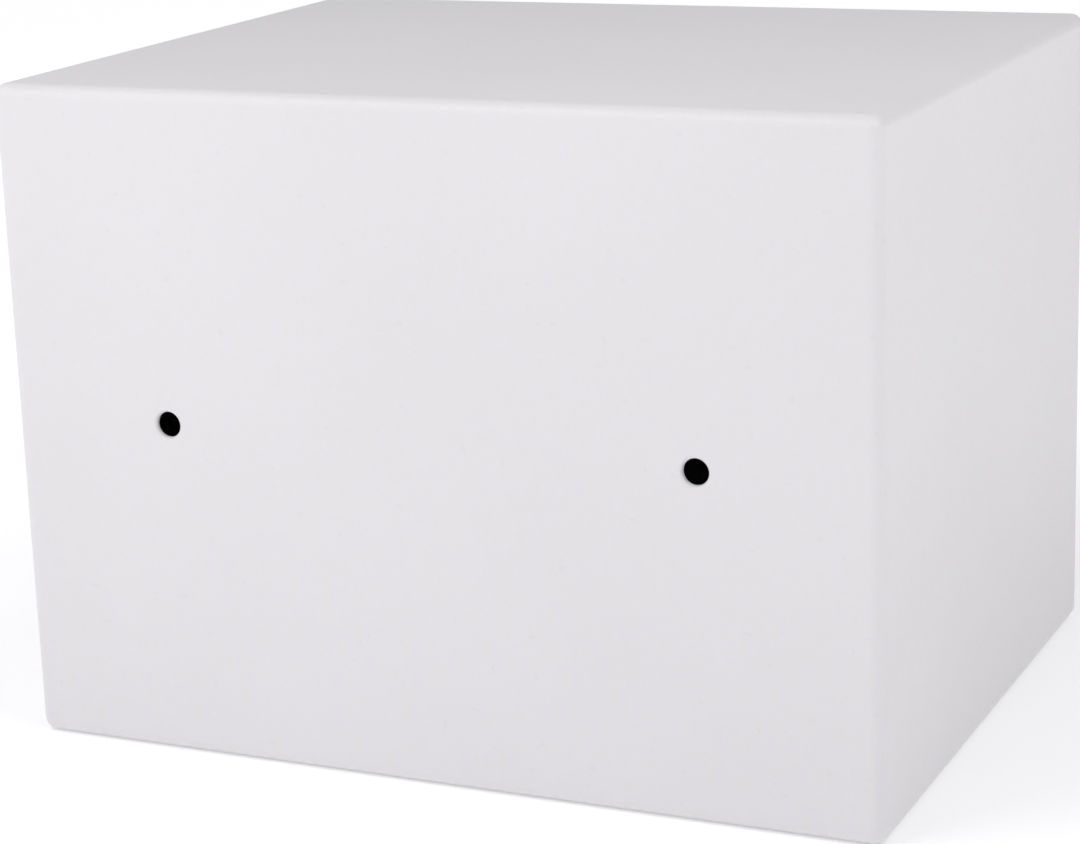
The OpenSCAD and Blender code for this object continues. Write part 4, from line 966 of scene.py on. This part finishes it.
for group, name, edge in ((cans, "battery_cans", 0.2), (sleeves, "battery_sleeves", 0.25)):
    bpy.ops.object.select_all(action="DESELECT")
    for piece in group:
        piece.select_set(True)
    bpy.context.view_layer.objects.active = group[0]
    bpy.ops.object.join()
    group[0].name = name
    modify(
        group[0], "BEVEL", width=edge * mm, segments=2, limit_method="ANGLE",
        angle_limit=math.radians(50))
    smooth(group[0])
    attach(group[0], "door")
blue_sleeve = moulded("blue_sleeve", (0.02, 0.075, 0.20), 0.28, 0.15)
wear(cans[0], nickel)
wear(sleeves[0], blue_sleeve)
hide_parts("battery_cells")


# Battery lid
# A flat black lid that swings on its rod between the tray's ears, with a sunken field, three
# grooves for the thumb and a raised tab to lift it by.
low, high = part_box("battery_lid")
lid = soften("battery_lid", 0.35 * mm)
lid_face = high.y - 1.5 * mm
cut_out(
    lid,
    add_block("cutter", (tray_x - 27 * mm, lid_face - 0.4 * mm, low.z + 17 * mm),
              (tray_x + 27 * mm, lid_face + mm, low.z + 55 * mm)),
    *(add_block(
        "cutter", (tray_x - 9 * mm, lid_face - 0.45 * mm, low.z + (5.6 + 2.4 * i) * mm),
        (tray_x + 9 * mm, lid_face + mm, low.z + (6.5 + 2.4 * i) * mm)) for i in range(3)))
smooth(lid)
wear(lid, black_plastic)
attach(lid, "battery_lid")
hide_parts("battery_lid")


# Reset button and its switch
# A red plastic button with a rounded end stands through the cover from a small black switch.
red_plastic = moulded("red_moulding", (0.50, 0.016, 0.014), 0.32, 0.4)
button = soften("reset_button", 0.7 * mm, degrees=50, segments=4)
wear(button, red_plastic)
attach(button, "reset_button")
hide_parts("reset_button")
switch = soften("reset_switch", 0.35 * mm)
wear(switch, black_resin)
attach(switch, "door")
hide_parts("reset_switch")


# Locking bolts
# Two turned steel bolts with chamfered noses, riveted to the carrier's upturned edge.
bright_bolts = turned_metal("polished_bolts", (0.74, 0.75, 0.76), "X", 0.17)
bolts = soften("locking_bolts", 0.25 * mm)
wear(bolts, bright_bolts)
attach(bolts, "bolts")
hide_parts("locking_bolts")


# Bolt carrier and guide
# Pressed parts of zinc-plated steel sheet with broken edges. The carrier slides on two
# shouldered studs behind the door, and the guide steers the bolts.
for node, body in (("bolt_carrier", "bolts"), ("bolt_guide", "door")):
    piece = soften(node, 0.35 * mm)
    wear(piece, zinc)
    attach(piece, body)
    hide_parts(node)
studs = soften("guide_studs", 0.25 * mm)
wear(studs, bright_steel)
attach(studs, "door")
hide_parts("guide_studs")


# Solenoid
# A coil taped over on a black bobbin sits in a pressed, plated frame on two posts. Its
# plunger of turned steel drops into the carrier's notch under a small coil spring.
for node in ("solenoid_frame", "solenoid_posts"):
    piece = soften(node, 0.3 * mm)
    wear(piece, zinc)
    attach(piece, "door")
    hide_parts(node)
coil_tape, shader, wire, place = new_material("coil_tape", Coat_Weight=0.25)
low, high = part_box("solenoid_coil")
half_winding = (high.z - low.z) / 2 - 1.2 * mm
height = wire.node("SeparateXYZ", {"Vector": place}, output="Z")
bobbin = wire.math(
    "GREATER_THAN", wire.math("ABSOLUTE", height - (low.z + high.z) / 2), half_winding)
weave = wire.noise(wire.node("Mapping", {"Vector": place, "Scale": (1, 1, 9)}), 420, 3)
tape = wire.blend(weave, (0.30, 0.085, 0.02, 1), (0.46, 0.16, 0.04, 1))
plug_in(
    shader,
    Base_Color=wire.blend(bobbin, tape, (0.02, 0.02, 0.022, 1)),
    Roughness=0.30 + 0.16 * weave,
    Normal=wire.node("Bump", {"Strength": 0.3, "Distance": 0.0002, "Height": weave}),
)
winding = soften("solenoid_coil", 0.3 * mm)
wear(winding, coil_tape)
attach(winding, "door")
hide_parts("solenoid_coil")
plunger_steel = turned_metal("turned_steel_z", (0.70, 0.71, 0.72), "Z", 0.2)
plunger = soften("plunger", 0.3 * mm)
wear(plunger, plunger_steel)
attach(plunger, "catch")
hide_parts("plunger")
wear(nodes["plunger_spring"], turned_metal("spring_wire", (0.60, 0.61, 0.63), "Z", 0.3, 0.3))


# Leads
# Three thin insulated leads from the board: one to the battery tray, one to the coil and
# one to the reset switch. They pass the door through a rubber grommet. Routes in mm.
lead_radius = 1.05 * mm
routes = {
    "reset_lead": ((0.045, 0.045, 0.05), (
        (-44.6, -132.6, 78), (-44.6, -129, 78), (-45.6, -121, 76), (-66, -120, 70),
        (-91.8, -120, 76), (-104.8, -120, 108), (-105.8, -119, 160), (-103.8, -108, 177),
        (-103.8, -101, 180), (-103.8, -98, 180))),
    "battery_lead": ((0.42, 0.02, 0.016), (
        (-42, -132.6, 78), (-42, -129, 78), (-42, -120, 79), (-47, -116, 85),
        (-56, -112.7, 96), (-58, -109.7, 99), (-58, -106.7, 99))),
    "coil_lead": ((0.50, 0.30, 0.02), (
        (-39.4, -132.6, 78), (-39.4, -129, 78), (-37.4, -121, 80), (-20, -120, 82),
        (-10, -120, 102), (-6, -120, 145), (2, -120, 176), (4, -118, 192),
        (8, -110.5, 198), (13, -102.5, 198), (18, -101.5, 198), (21, -101.5, 198))),
}
for name, (colour, route) in routes.items():
    bpy.ops.object.select_all(action="DESELECT")
    path = bpy.data.curves.new(name, "CURVE")
    path.dimensions = "3D"
    path.bevel_depth = lead_radius
    path.bevel_resolution = 4
    path.resolution_u = 8
    path.use_fill_caps = True
    spline = path.splines.new("BEZIER")
    spline.bezier_points.add(len(route) - 1)
    for point, spot in zip(spline.bezier_points, route):
        point.co = Vector(spot) * mm
        point.handle_left_type = point.handle_right_type = "AUTO"
    lead = bpy.data.objects.new(name, path)
    bpy.context.scene.collection.objects.link(lead)
    lead.select_set(True)
    bpy.context.view_layer.objects.active = lead
    bpy.ops.object.convert(target="MESH")
    lead = bpy.context.object
    smooth(lead, 60)
    wear(lead, moulded(name + "_jacket", colour, 0.4, 0.2))
    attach(lead, "door")
    if name == "reset_lead":
        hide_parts("inner_leads")
rubber = moulded("black_rubber", (0.025, 0.025, 0.026), 0.75, 0.5)
grommet = soften("lead_grommet", 0.5 * mm, degrees=50, segments=4)
wear(grommet, rubber)
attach(grommet, "door")
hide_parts("lead_grommet")


# Screws behind the door
# Plated cross-head screws that hold the keypad, the circuit board and the solenoid.
inner = soften("inner_screws", 0.35 * mm, degrees=60, segments=3)
wear(inner, zinc)
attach(inner, "door")
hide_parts("inner_screws")
